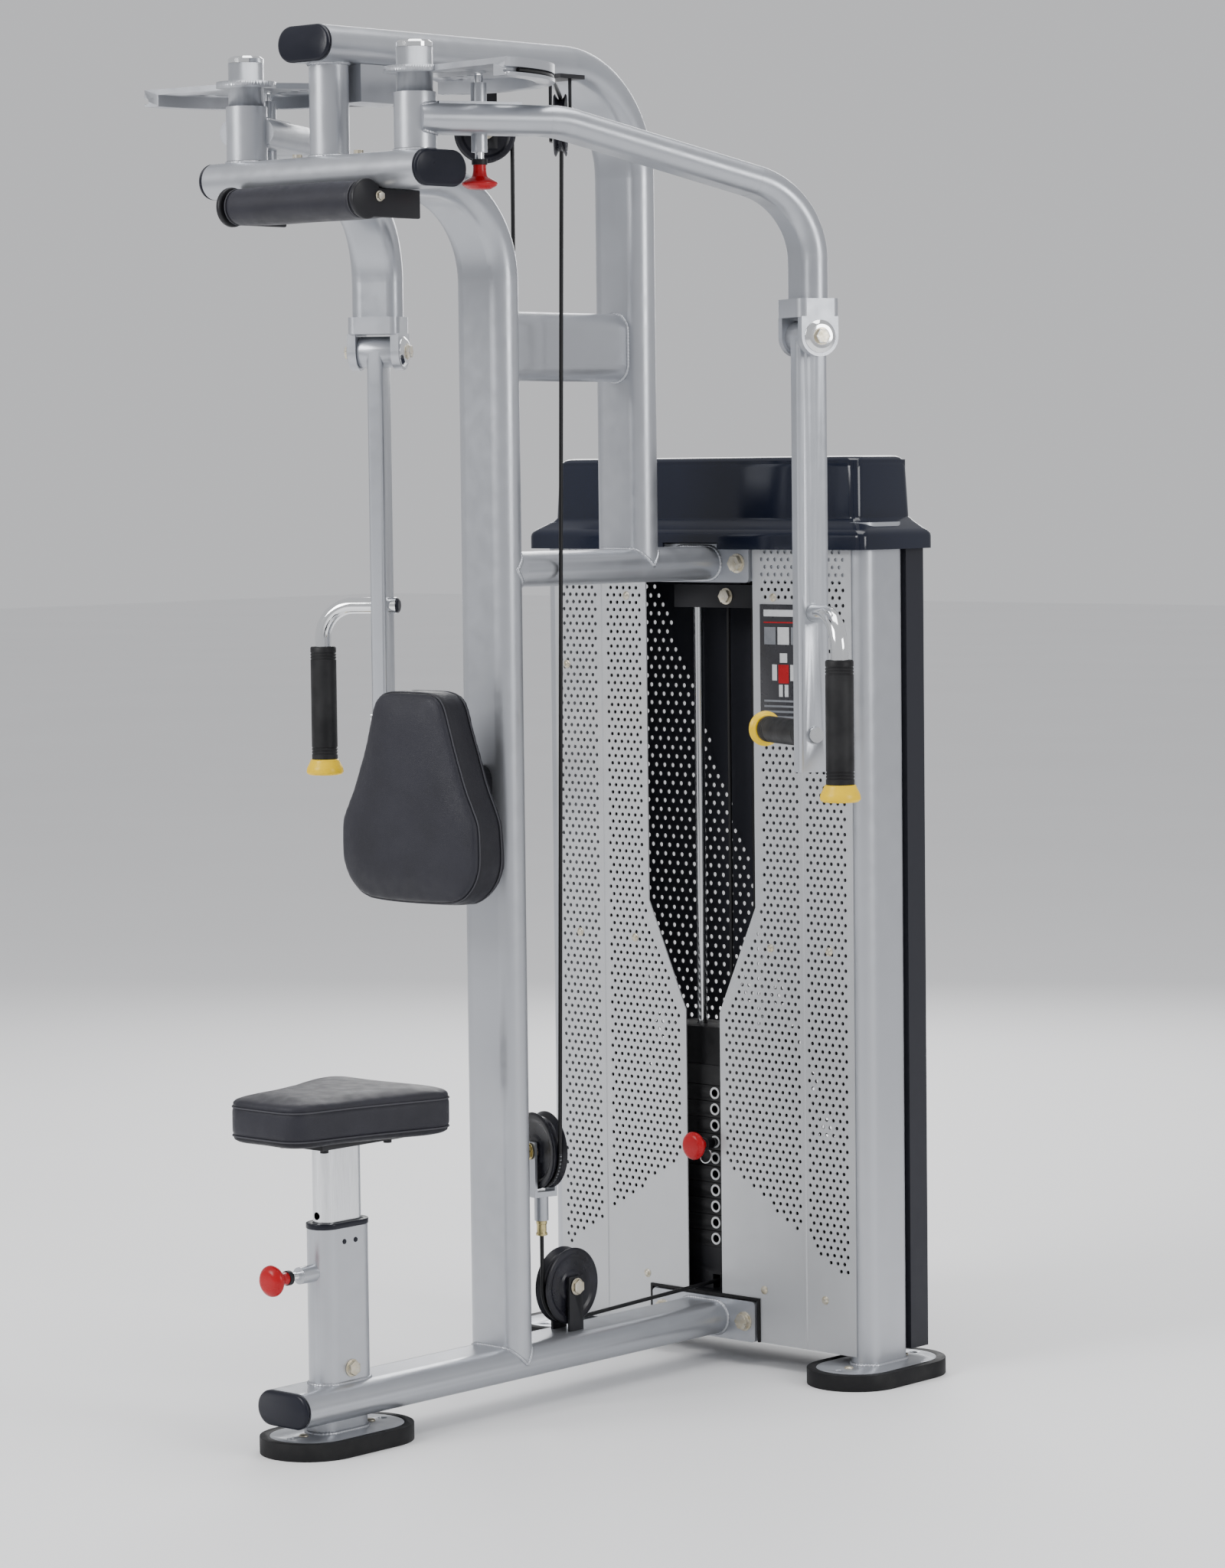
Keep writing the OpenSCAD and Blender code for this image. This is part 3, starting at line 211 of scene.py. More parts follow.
def make_materials():
    m = {}
    # the last colour given to each powder coat is its painted edge highlight
    m["frame_paint"] = powder_coat("frame_paint", (0.40, 0.415, 0.445), 0.72, 0.33, (0.58, 0.59, 0.62))
    m["shroud_sheet"] = powder_coat("shroud_sheet", (0.47, 0.48, 0.495), 0.45, 0.40, (0.62, 0.63, 0.64))
    m["dark_sheet"] = powder_coat("dark_sheet", (0.006, 0.007, 0.012), 0.1, 0.42, (0.05, 0.05, 0.06))
    m["black_metal"] = powder_coat("black_metal", (0.008, 0.008, 0.010), 0.1, 0.42, (0.06, 0.06, 0.065))

    s = Shader("end_cap", (0.006, 0.007, 0.013), 0, 0.33, Specular_IOR_Level=0.25)
    s.bump(s.noise(1500, 2), 0.12, 0.0003).rough(s.noise(30), 0.06)
    s.tint(s.noise(9), (0.009, 0.010, 0.018), 0.8)
    m["end_cap"] = s.material

    s = Shader("foot_rubber", (0.008, 0.008, 0.009), 0, 0.62, Specular_IOR_Level=0.25)
    s.bump(s.noise(420, 4), 0.3, 0.0006).rough(s.noise(20), 0.08)
    s.tint(s.noise(30, 5), (0.022, 0.022, 0.021), 0.5, 0.5, 0.8)
    m["foot_rubber"] = s.material

    s = Shader("cover", (0.003, 0.005, 0.014), 0, 0.14, Specular_IOR_Level=0.4)
    s.bump(s.noise(260, 2), 0.04, 0.0004).rough(s.noise(14), 0.05)
    s.tint(s.noise(3), (0.006, 0.009, 0.021), 0.8)
    m["cover"] = s.material

    s = Shader("upholstery", (0.015, 0.015, 0.021), 0, 0.44, Specular_IOR_Level=0.28)
    s.bump(s.range(s.cells(560), 0, 1, 0, 0.16), 0.32, 0.0005).bump(s.noise(90, 4), 0.14, 0.0012)
    s.tint(s.noise(14, 4), (0.021, 0.021, 0.029), 0.9).rough(s.noise(60, 3), 0.07)
    m["upholstery"] = s.material

    s = Shader("upholstery_side", (0.009, 0.009, 0.013), 0, 0.48, Specular_IOR_Level=0.25)
    s.bump(s.range(s.cells(560), 0, 1, 0, 0.16), 0.32, 0.0005).rough(s.noise(60, 3), 0.07)
    s.tint(s.noise(14, 4), (0.013, 0.013, 0.018), 0.9)
    m["upholstery_side"] = s.material

    s = Shader("thread", (0.05, 0.05, 0.06), 0, 0.7)
    s.bump(s.waves(900), 0.5, 0.0004).rough(s.noise(80), 0.06)
    m["thread"] = s.material

    s = Shader("chrome", (0.80, 0.81, 0.82), 1, 0.09)
    s.rough(s.noise(50, 3), 0.035).bump(s.noise(300, 2), 0.02, 0.0003)
    m["chrome"] = s.material

    s = Shader("zinc_bolt", (0.56, 0.50, 0.37), 0.9, 0.34)
    s.tint(s.noise(160, 3), (0.66, 0.63, 0.55), 0.8).rough(s.noise(240), 0.09)
    s.bump(s.noise(900, 2), 0.08, 0.0002)
    m["zinc_bolt"] = s.material

    s = Shader("brass", (0.60, 0.50, 0.24), 1, 0.32)
    s.tint(s.noise(200, 3), (0.42, 0.36, 0.18), 0.7).rough(s.noise(260), 0.08)
    m["brass"] = s.material

    s = Shader("plate_iron", (0.006, 0.006, 0.007), 0, 0.44, Specular_IOR_Level=0.3)
    s.bump(s.noise(420, 5), 0.22, 0.0005).rough(s.noise(60), 0.08)
    # painted highlight: the plates' convex edges are tinted a lighter grey
    s.paint_edge_highlight((0.09, 0.09, 0.09), 0.5, 0.53)
    m["plate_iron"] = s.material

    s = Shader("pulley", (0.006, 0.006, 0.009), 0, 0.3, Specular_IOR_Level=0.3)
    s.bump(s.noise(700, 2), 0.06, 0.0003).rough(s.noise(40), 0.06)
    s.tint(s.noise(25), (0.022, 0.022, 0.03), 0.8)
    m["pulley"] = s.material

    s = Shader("red_knob", (0.36, 0.002, 0.006), 0, 0.28, Specular_IOR_Level=0.3)
    s.tint(s.noise(70), (0.42, 0.004, 0.010), 0.7).rough(s.noise(60), 0.05)
    s.bump(s.noise(500, 2), 0.05, 0.0003)
    m["red_knob"] = s.material

    s = Shader("cable", (0.006, 0.006, 0.007), 0, 0.4, Specular_IOR_Level=0.3)
    strands = s.waves(320, "DIAGONAL")
    s.bump(strands, 0.25, 0.0003).tint(strands, (0.012, 0.012, 0.013), 0.6)
    m["cable"] = s.material

    s = Shader("grip", (0.006, 0.006, 0.007), 0, 0.5, Specular_IOR_Level=0.25)
    s.bump(s.noise(1100, 3), 0.3, 0.0003).rough(s.noise(60), 0.07)
    s.tint(s.noise(25), (0.02, 0.02, 0.021), 0.8)
    m["grip"] = s.material

    s = Shader("yellow_cap", (0.78, 0.50, 0.0), 0, 0.34, Specular_IOR_Level=0.3)
    s.tint(s.noise(60, 3), (0.84, 0.56, 0.002), 0.8).rough(s.noise(70), 0.06)
    s.bump(s.noise(700, 2), 0.08, 0.0003)
    m["yellow_cap"] = s.material

    s = Shader("bright_post", (0.74, 0.75, 0.77), 1, 0.2, Anisotropic=0.5)
    brushed = s.noise(60, 3, s.stretched((14, 14, 0.5)))
    s.rough(brushed, 0.07).bump(brushed, 0.05, 0.0002).tint(brushed, (0.64, 0.65, 0.67), 0.6)
    m["bright_post"] = s.material

    s = Shader("placard", (0.018, 0.018, 0.022), 0, 0.28)
    s.rough(s.noise(40), 0.05).bump(s.noise(800, 2), 0.04, 0.0002)
    s.tint(s.noise(25), (0.028, 0.028, 0.034), 0.7)
    m["placard"] = s.material

    s = Shader("print_light", (0.62, 0.63, 0.64), 0, 0.4)
    s.tint(s.noise(120, 3), (0.55, 0.56, 0.57), 0.7)
    m["print_light"] = s.material

    s = Shader("print_grey", (0.20, 0.21, 0.23), 0, 0.4)
    s.tint(s.noise(120, 3), (0.16, 0.17, 0.19), 0.7)
    m["print_grey"] = s.material
    return m


MATERIALS = make_materials()


def paint(obj, name):
    """Gives an object one material in every slot."""
    slots = obj.data.materials
    if not slots:
        slots.append(MATERIALS[name])
    for i in range(len(slots)):
        slots[i] = MATERIALS[name]


# ---------------------------------------------------------------- mesh tools

def add_object(name, mesh, material):
    obj = bpy.data.objects.new(name, mesh)
    bpy.context.scene.collection.objects.link(obj)
    paint(obj, material)
    return obj


def mesh_object(name, points, faces, material, smooth=True):
    mesh = bpy.data.meshes.new(name)
    mesh.from_pydata([tuple(p) for p in points], [], faces)
    mesh.validate()
    tidy = bmesh.new()
    tidy.from_mesh(mesh)
    bmesh.ops.recalc_face_normals(tidy, faces=tidy.faces)
    tidy.to_mesh(mesh)
    tidy.free()
    if smooth:
        mesh.shade_smooth()
    return add_object(name, mesh, material)


def apply_modifiers(obj):
    graph = bpy.context.evaluated_depsgraph_get()
    mesh = bpy.data.meshes.new_from_object(obj.evaluated_get(graph))
    obj.modifiers.clear()
    obj.data = mesh


def smooth_by_angle(obj, degrees=35):
    mesh = obj.data
    mesh.shade_smooth()
    mesh.set_sharp_from_angle(angle=math.radians(degrees))


def attach(obj, body, replaces=()):
    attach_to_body(obj, body)
    if replaces:
        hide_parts(*([replaces] if isinstance(replaces, str) else replaces))
    return obj


def soften(node, width, name=None, material=None, segments=2, angle=32):
    """A copy of a CAD node with its sharp edges rounded by a bevel; it stands for the node."""
    obj = add_object(name or node + "_shell", NODES[node].data.copy(), material or SLOT[node])
    bm = bmesh.new()
    bm.from_mesh(obj.data)
    bmesh.ops.remove_doubles(bm, verts=bm.verts, dist=1e-5)
    bmesh.ops.dissolve_limit(bm, angle_limit=math.radians(1), verts=bm.verts, edges=bm.edges)
    bm.to_mesh(obj.data)
    bm.free()
    bevel = obj.modifiers.new("bevel", "BEVEL")
    bevel.width = width
    bevel.segments = segments
    bevel.limit_method = "ANGLE"
    bevel.angle_limit = math.radians(angle)
    bevel.use_clamp_overlap = True
    bevel.harden_normals = True
    apply_modifiers(obj)
    smooth_by_angle(obj, 40)
    paint(obj, material or SLOT[node])
    return attach(obj, BODY_OF[node], node)


def ring_frames(points, closed=False):
    """Two directions across the line at each point, turning as little as they can."""
    pts = [Vector(p) for p in points]
    count = len(pts)
    along = []
    for i in range(count):
        before = pts[i - 1] if closed or i else pts[0]
        after = pts[(i + 1) % count] if closed or i < count - 1 else pts[-1]
        along.append((after - before).normalized())
    side = along[0].orthogonal().normalized()
    frames = []
    for i in range(count):
        side = (side - along[i] * side.dot(along[i])).normalized()
        frames.append((pts[i], side, along[i].cross(side)))
    return frames


def tube(name, points, radius, material, sides=16, closed=False):
    """A round bar along a line, with flat ends."""
    frames = ring_frames(points, closed)
    rings = [[c + (a * math.cos(t) + b * math.sin(t)) * radius
              for t in (2 * math.pi * k / sides for k in range(sides))] for c, a, b in frames]
    verts = [p for ring in rings for p in ring]
    count = len(rings)
    faces = []
    for i in range(count if closed else count - 1):
        j = (i + 1) % count
        for k in range(sides):
            n = (k + 1) % sides
            faces.append((i * sides + k, i * sides + n, j * sides + n, j * sides + k))
    if not closed:
        faces.append(tuple(range(sides))[::-1])
        faces.append(tuple((count - 1) * sides + k for k in range(sides)))
    obj = mesh_object(name, verts, faces, material)
    smooth_by_angle(obj, 50)
    return obj


def lathe(name, profile, material, origin=(0, 0, 0), axis=(0, 0, 1), steps=48, ring=False):
    """A turned piece: the profile's points are (radius, distance along the axis), in metres."""
    turn = Vector((0, 0, 1)).rotation_difference(Vector(axis)).to_matrix().to_4x4()
    place = Matrix.Translation(origin) @ turn
    verts, rings = [], []
    for r, h in profile:
        if r < 1e-6:
            rings.append([len(verts)])
            verts.append(place @ Vector((0, 0, h)))
        else:
            rings.append(list(range(len(verts), len(verts) + steps)))
            verts += [place @ Vector((r * math.cos(a), r * math.sin(a), h))
                      for a in (2 * math.pi * k / steps for k in range(steps))]
    faces = []
    for low, high in zip(rings, rings[1:] + rings[:1] if ring else rings[1:]):
        for k in range(steps):
            n = (k + 1) % steps
            corners = [low[k % len(low)], low[n % len(low)], high[n % len(high)], high[k % len(high)]]
            corners = list(dict.fromkeys(corners))
            if len(corners) > 2:
                faces.append(tuple(corners))
    for end in () if ring else (rings[0], rings[-1]):
        if len(end) > 1:
            faces.append(tuple(end))
    obj = mesh_object(name, verts, faces, material)
    smooth_by_angle(obj, 38)
    return obj


def rounded(profile, radius, steps=4):
    """Rounds the inner corners of a profile of (radius, height) points."""
    pts = [Vector(p) for p in profile]
    out = [profile[0]]
    for a, b, c in zip(pts, pts[1:], pts[2:]):
        cut = min(radius, (a - b).length / 2.05, (c - b).length / 2.05)
        p, q = b + (a - b).normalized() * cut, b + (c - b).normalized() * cut
        for i in range(steps + 1):
            t = i / steps
            out.append(tuple(p * (1 - t) ** 2 + b * 2 * t * (1 - t) + q * t * t))
    out.append(profile[-1])
    return out


def joint_at(name):
    return Vector(JOINTS[name]["pos_m"]), Vector(JOINTS[name]["axis"]).normalized()


SLOT = {p["node"]: p["material_slot"] for p in frame["record"]["subparts"]}
for node_name, node_object in NODES.items():
    paint(node_object, SLOT[node_name])
    smooth_by_angle(node_object, 35)


# ---------------------------------------------------------------- layout

MID_Y = 514.5


def row(x, y, z):
    """Layout millimetres, with Y from the base tube's front cap, to the row frame in metres."""
    return Vector((x * MM, (y - MID_Y) * MM, z * MM))


PIVOT_X, BEAM_Y = 165, 132
TOWER_X, TOWER_Y, SHROUD_FRONT, REAR_PLANE = 297, 954, 901.7, 1046
REST_ANGLE = math.radians(63.3)


def arm_frame(side):
    """The arm's own axes at rest: X out from its pivot, Y across, Z up. side is 1 right, -1 left."""
    turn = Matrix.Rotation(REST_ANGLE, 4, "Z")
    flip = Matrix.Scale(side, 4, (1, 0, 0))
    return flip @ Matrix.Translation(row(PIVOT_X, BEAM_Y, 0)) @ turn


def oval_points(length, width, steps=14):
    """A flat oval's outline, long side along the first axis, in millimetres."""
    r, flat, out = width / 2, (length - width) / 2, []
    for side in (1, -1):
        for i in range(steps + 1):
            a = math.pi * (i / steps - 0.5)
            out.append((side * (flat + r * math.cos(a)), side * r * math.sin(a)))
    for i in range(1, 5):
        x = flat - 2 * flat * i / 5
        out.insert(steps + i, (x, r))
    for i in range(1, 5):
        out.append((-flat + 2 * flat * i / 5, -r))
    return out


def oval_drop(x, length=100, width=50):
    """How far a flat oval's surface lies from its middle line, at x along its long side."""
    r = width / 2
    over = max(0, abs(x) - (length - width) / 2)
    return math.sqrt(max(0, r * r - over * over))


# ---------------------------------------------------------------- welds

def weld(name, points, body="root", radius=3.2):
    """A bead with even ripples along a closed line, half sunk in the joint."""
    pts = [Vector(p) for p in points]
    loop = pts + pts[:1]
    lengths = [0.0]
    for a, b in zip(loop, loop[1:]):
        lengths.append(lengths[-1] + (b - a).length)
    count = max(24, int(lengths[-1] / 0.0016))
    dense, k = [], 0
    for i in range(count):
        d = lengths[-1] * i / count
        while lengths[k + 1] < d:
            k += 1
        dense.append(loop[k].lerp(loop[k + 1], (d - lengths[k]) / max(1e-9, lengths[k + 1] - lengths[k])))
    verts, faces, sides = [], [], 7
    for i, (c, a, b) in enumerate(ring_frames(dense, closed=True)):
        swell = radius * MM * (1 + 0.13 * math.sin(i * 2 * math.pi / 3.0) + 0.05 * noise.noise(c * 90))
        verts += [c + (a * math.cos(t) + b * math.sin(t)) * swell
                  for t in (2 * math.pi * j / sides for j in range(sides))]
    for i in range(count):
        j = (i + 1) % count
        for s in range(sides):
            n = (s + 1) % sides
            faces.append((i * sides + s, i * sides + n, j * sides + n, j * sides + s))
    return attach(mesh_object(name, verts, faces, "frame_paint"), body)


def make_welds():
    up = [row(x, 446 + y, 67 + oval_drop(x)) for x, y in oval_points(100, 50)]
    weld("weld_main_base", up)
    weld("weld_rear_link", [row(x, 743 + y, 1219 + oval_drop(x)) for x, y in oval_points(100, 50)])
    cross = oval_points(100, 50)
    weld("weld_cross_front", [row(w, 471.2, 1541 + h) for h, w in cross])
    weld("weld_cross_rear", [row(w, 717.8, 1541 + h) for h, w in cross])
    weld("weld_link_front", [row(x, 446 + oval_drop(x), 1219 + z) for x, z in cross])
    weld("weld_link_flange", [row(x, 895.5, 1219 + z) for x, z in cross])
    weld("weld_base_flange", [row(x, 895.5, 67 + z) for x, z in cross])
    neck = [row(x, 157 + oval_drop(z, 50, 50), 1772 + z) for x, z in oval_points(99, 49)]
    weld("weld_neck_beam", neck)
    weld("weld_seat_base", [row(w, 113 + h, 67 + oval_drop(w)) for h, w in cross])
    circle = [(27.5 * math.cos(a), 27.5 * math.sin(a)) for a in (2 * math.pi * k / 40 for k in range(40))]
    weld("weld_post_beam", [row(x, 132 + y, 1797) for x, y in circle])
    weld("weld_post_top", [row(x, 132 + y, 1925) for x, y in circle])
    for i, (x, y) in enumerate(((0, 107), (-TOWER_X, TOWER_Y), (TOWER_X, TOWER_Y))):
        weld(f"weld_foot_{i}", [row(x + w, y + h, 24.3) for h, w in cross], radius=3.6)
    for side, word in ((1, "right"), (-1, "left")):
        ring = [(29 * math.cos(a), 29 * math.sin(a)) for a in (2 * math.pi * k / 44 for k in range(44))]
        weld(f"weld_shaft_{word}", [row(side * PIVOT_X + x, 132 + y, 1797) for x, y in ring], radius=2.6)
        place = arm_frame(side)
        arm_hub = [place @ (Vector((x, y, 1840 + z)) * MM) for x, y, z in hub_line()]
        weld(f"weld_arm_hub_{word}", arm_hub, word + "_arm_body", 3.0)


def coped_end(name, y, z, y_end):
    """A tube end shaped round the flat-oval upright that it is welded to."""
    outline = oval_points(100, 50, 20)
    n = len(outline)
    verts = [row(px, y + max(oval_drop(px), 4), z + pz) for px, pz in outline]
    verts += [row(px, y_end, z + pz) for px, pz in outline]
    faces = [(i, (i + 1) % n, (i + 1) % n + n, i + n) for i in range(n)]
    faces += [tuple(range(n)), tuple(range(n, 2 * n))[::-1]]
    obj = mesh_object(name, verts, faces, "frame_paint")
    smooth_by_angle(obj, 35)
    attach(obj, "root")


def hub_line():
    """Where the level arm tube (80 x 40) meets its round hub (radius 29), in the arm's own millimetres."""
    out = []
    for y, z in oval_points(80, 40):
        y = max(-28.9, min(28.9, y))
        out.append((math.sqrt(29.0 ** 2 - y * y), y, z))
    return out


# ---------------------------------------------------------------- cushions

def cushion(node, name, shrink, pressure, cap, voxel, body, slot_name, flat_sides=()):
    """Remeshes a copy of the CAD solid, lets it swell under pressure and returns the soft piece.

    flat_sides are (axis, sign) pairs: the side that lies on its board stays where it is.
    """
    low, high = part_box(node)
    middle = (low + high) / 2
    obj = add_object(name, NODES[node].data.copy(), slot_name)
    for v in obj.data.vertices:
        for i in range(3):
            half_size = max(1e-6, (high[i] - low[i]) / 2)
            v.co[i] = middle[i] + (v.co[i] - middle[i]) * (1 - shrink[i] * MM / half_size)
    bm = bmesh.new()
    bm.from_mesh(obj.data)
    bmesh.ops.remove_doubles(bm, verts=bm.verts, dist=1e-5)
    bm.to_mesh(obj.data)
    bm.free()
    bevel = obj.modifiers.new("bevel", "BEVEL")
    bevel.width = 0.011
    bevel.segments = 3
    bevel.limit_method = "ANGLE"
    bevel.angle_limit = math.radians(40)
    remesh = obj.modifiers.new("remesh", "REMESH")
    remesh.mode = "VOXEL"
    remesh.voxel_size = voxel
    apply_modifiers(obj)
    count = len(obj.data.vertices)
    start = np.empty(count * 3)
    obj.data.vertices.foreach_get("co", start)
    start = start.reshape(-1, 3)
    cloth = obj.modifiers.new("cloth", "CLOTH")
    cloth.settings.use_pressure = True
    cloth.settings.uniform_pressure_force = pressure
    cloth.settings.effector_weights.gravity = 0
    cloth.settings.tension_stiffness = 25
    cloth.settings.compression_stiffness = 25
    cloth.settings.quality = 6
    scene = bpy.context.scene
    cloth.point_cache.frame_end = 20
    for frame_number in range(1, 21):
        scene.frame_set(frame_number)
    apply_modifiers(obj)
    scene.frame_set(1)
    end = np.empty(count * 3)
    obj.data.vertices.foreach_get("co", end)
    end = end.reshape(-1, 3)
    move = end - start
    length = np.linalg.norm(move, axis=1)
    keep = np.minimum(1, cap * MM / np.maximum(length, 1e-9))
    end = start + even_out(obj.data, move * keep[:, None], 30)
    for axis, sign in flat_sides:
        edge = (high if sign > 0 else low)[axis]
        end[:, axis] = np.minimum(end[:, axis], edge) if sign > 0 else np.maximum(end[:, axis], edge)
    obj.data.vertices.foreach_set("co", end.ravel())
    soft = obj.modifiers.new("smooth", "SMOOTH")
    soft.iterations = 8
    soft.factor = 0.5
    sub = obj.modifiers.new("sub", "SUBSURF")
    sub.levels = sub.render_levels = 1
    apply_modifiers(obj)
    obj.data.shade_smooth()
    paint(obj, slot_name)
    attach(obj, body, node)
    return obj


def even_out(mesh, move, rounds):
    """Spreads a swelling evenly over the neighbouring points, so that it leaves no puckers."""
    edges = np.empty(len(mesh.edges) * 2, int)
    mesh.edges.foreach_get("vertices", edges)
    a, b = edges.reshape(-1, 2).T
    near = np.bincount(a, minlength=len(move)) + np.bincount(b, minlength=len(move))
    for _ in range(rounds):
        total = np.zeros_like(move)
        for i in range(3):
            total[:, i] = (np.bincount(a, move[b, i], len(move)) + np.bincount(b, move[a, i], len(move)))
        move = 0.3 * move + 0.7 * total / np.maximum(1, near)[:, None]
    return move


def on_surface(obj, rays, offset=0.0):
    """The points where rays (start, direction) meet a piece, raised by offset along its normal."""
    tree = BVHTree.FromObject(obj, bpy.context.evaluated_depsgraph_get())
    out = []
    for start, direction in rays:
        hit, normal, _, _ = tree.ray_cast(start, direction)
        if hit is not None:
            out.append(hit + normal * offset)
    return out


def seam(name, obj, loop, body, radius=0.0011, groove=0.0016, material="thread"):
    """A sewn seam along a closed line: the cover is drawn in along it and a fine welt lies in it."""
    line = np.array([tuple(p) for p in loop])
    count = len(obj.data.vertices)
    co = np.empty(count * 3)
    obj.data.vertices.foreach_get("co", co)
    co = co.reshape(-1, 3)
    normals = np.empty(count * 3)
    obj.data.vertices.foreach_get("normal", normals)
    normals = normals.reshape(-1, 3)
    away = np.full(count, 9.0)
    for i in range(0, len(line)):
        a, b = line[i], line[(i + 1) % len(line)]
        ab = b - a
        t = np.clip(((co - a) @ ab) / max(1e-12, ab @ ab), 0, 1)
        away = np.minimum(away, np.linalg.norm(co - (a + t[:, None] * ab), axis=1))
    dent = groove * np.exp(-(away / 0.0035) ** 2)
    obj.data.vertices.foreach_set("co", (co - normals * dent[:, None]).ravel())
    obj.data.update()
    welt = tube(name, [Vector(p) for p in line], radius, material, 8, closed=True)
    return attach(welt, body)


def slice_loop(obj, axis, level, spread=160):
    """The piece's outline where a plane across an axis cuts it, found by rays from its middle."""
    low = Vector([min(v.co[i] for v in obj.data.vertices) for i in range(3)])
    high = Vector([max(v.co[i] for v in obj.data.vertices) for i in range(3)])
    middle = (low + high) / 2
    middle[axis] = level
    others = [i for i in range(3) if i != axis]
    rays = []
    for k in range(spread):
        a = 2 * math.pi * k / spread
        out = Vector((0, 0, 0))
        out[others[0]], out[others[1]] = math.cos(a), math.sin(a)
        rays.append((middle + out * 1.5, -out))
    return on_surface(obj, rays)


def make_cushions():
    seat = cushion("seat_pad", "seat_cushion", (5, 5, 4), 3.0, 9, 0.005, "seat", "upholstery", [(2, -1)])
    low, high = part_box("seat_pad")
    seam("seat_seam_top", seat, slice_loop(seat, 2, high[2] - 0.013), "seat")
    lower = slice_loop(seat, 2, low[2] + 0.011)
    seam("seat_seam_bottom", seat, lower, "seat")
    two_tone(seat, 2, low[2] + 0.011, -1)

    back = cushion("back_pad", "back_cushion", (5, 4, 5), 3.2, 10, 0.005, "root", "upholstery", [(1, 1)])
    low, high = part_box("back_pad")
    seam("back_seam_front", back, slice_loop(back, 1, low[1] + 0.012), "root")
    seam("back_seam_rear", back, slice_loop(back, 1, high[1] - 0.012), "root")
    two_tone(back, 1, low[1] + 0.012, 1)

    roll = cushion("roller_pad", "roll_cushion", (1, 2, 2), 2.0, 4, 0.004, "root", "upholstery", [(2, 1)])
    low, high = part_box("roller_pad")
    for x, word in ((low[0] + 0.007, "left"), (high[0] - 0.007, "right")):
        seam("roll_seam_" + word, roll, slice_loop(roll, 0, x), "root", 0.0009)


def two_tone(obj, axis, level, sign):
    """Faces beyond a level across an axis take the darker vinyl."""
    obj.data.materials.append(MATERIALS["upholstery_side"])
    for face in obj.data.polygons:
        if (face.center[axis] - level) * sign > 0:
            face.material_index = 1


# ---------------------------------------------------------------- perforated sheets

def inside(point, outline):
    x, z = point
    hit = False
    for (x0, z0), (x1, z1) in zip(outline, outline[1:] + outline[:1]):
        if (z0 > z) != (z1 > z) and x < (x1 - x0) * (z - z0) / (z1 - z0) + x0:
            hit = not hit
    return hit


def edge_distance(points, outline):
    best = np.full(len(points), 1e9)
    for a, b in zip(outline, outline[1:] + outline[:1]):
        a, b = np.array(a, float), np.array(b, float)
        ab = b - a
        t = np.clip(((points - a) @ ab) / (ab @ ab), 0, 1)
        best = np.minimum(best, np.linalg.norm(points - (a + t[:, None] * ab), axis=1))
    return best


def punched(name, outline, wanted, y_front, y_back, material, pitch=(13.0, 11.3), hole=3.1, margin=13):
    """A sheet in X and Z with round holes in staggered rows, as real geometry."""
    xs = [p[0] for p in outline]
    zs = [p[1] for p in outline]
    centres = []
    line = 0
    z = min(zs) + margin
    while z < max(zs):
        x = min(xs) + margin + (pitch[0] / 2 if line % 2 else 0)
        while x < max(xs):
            centres.append((x, z))
            x += pitch[0]
        z += pitch[1]
        line += 1
    spots = np.array(centres)
    far = edge_distance(spots, outline) > margin - 1
    spots = [tuple(p) for p, ok in zip(centres, far) if ok and inside(p, outline) and wanted(*p)]
    verts = [Vector(p) for p in outline]
    edges = [(i, (i + 1) % len(outline)) for i in range(len(outline))]
    sides = 8
    for x, z in spots:
        base = len(verts)
        verts += [Vector((x + hole * math.cos(a), z + hole * math.sin(a)))
                  for a in (2 * math.pi * (k + 0.5) / sides for k in range(sides))]
        edges += [(base + k, base + (k + 1) % sides) for k in range(sides)]
    points, _, faces, *_ = geometry.delaunay_2d_cdt(verts, edges, [], 1, 1e-6)
    points = np.array([tuple(p) for p in points])
    faces = np.array([tuple(f) for f in faces])
    middles = points[faces].mean(axis=1)
    keep = np.ones(len(faces), bool)
    if spots:
        spots = np.array(spots)
        for i in range(0, len(faces), 4000):
            gap = middles[i:i + 4000, None, :] - spots[None, :, :]
            keep[i:i + 4000] = (np.sum(gap * gap, axis=2).min(axis=1)) > (0.87 * hole) ** 2
    keep &= np.array([inside(p, outline) for p in middles])
    faces = faces[keep]
    count = len(points)
    front = [row(x, y_front, z) for x, z in points]
    back = [row(x, y_back, z) for x, z in points]
    all_faces = [tuple(f) for f in faces] + [tuple(f[::-1] + count) for f in faces]
    seen = {}
    for f in faces:
        for a, b in ((f[0], f[1]), (f[1], f[2]), (f[2], f[0])):
            if (b, a) in seen:
                del seen[(b, a)]
            else:
                seen[(a, b)] = True
    all_faces += [(b, a, a + count, b + count) for a, b in seen]
    all_faces = [tuple(int(i) for i in f) for f in all_faces]
    return mesh_object(name, front + back, all_faces, material, smooth=False)


def rib(name, x0, x1, z0, z1, y, raise_mm, material):
    """A pressed fold along a sheet: a low ridge with sloping sides."""
    w = (x1 - x0) * 0.3
    corners = [(x0, y), (x0 + w, y - raise_mm), (x1 - w, y - raise_mm), (x1, y)]
    verts = [row(x, yy, z) for z in (z0, z1) for x, yy in corners]
    faces = [(0, 1, 2, 3), (4, 7, 6, 5)] + [(i, (i + 1) % 4, (i + 1) % 4 + 4, i + 4) for i in range(4)]
    return mesh_object(name, verts, faces, material, smooth=False)


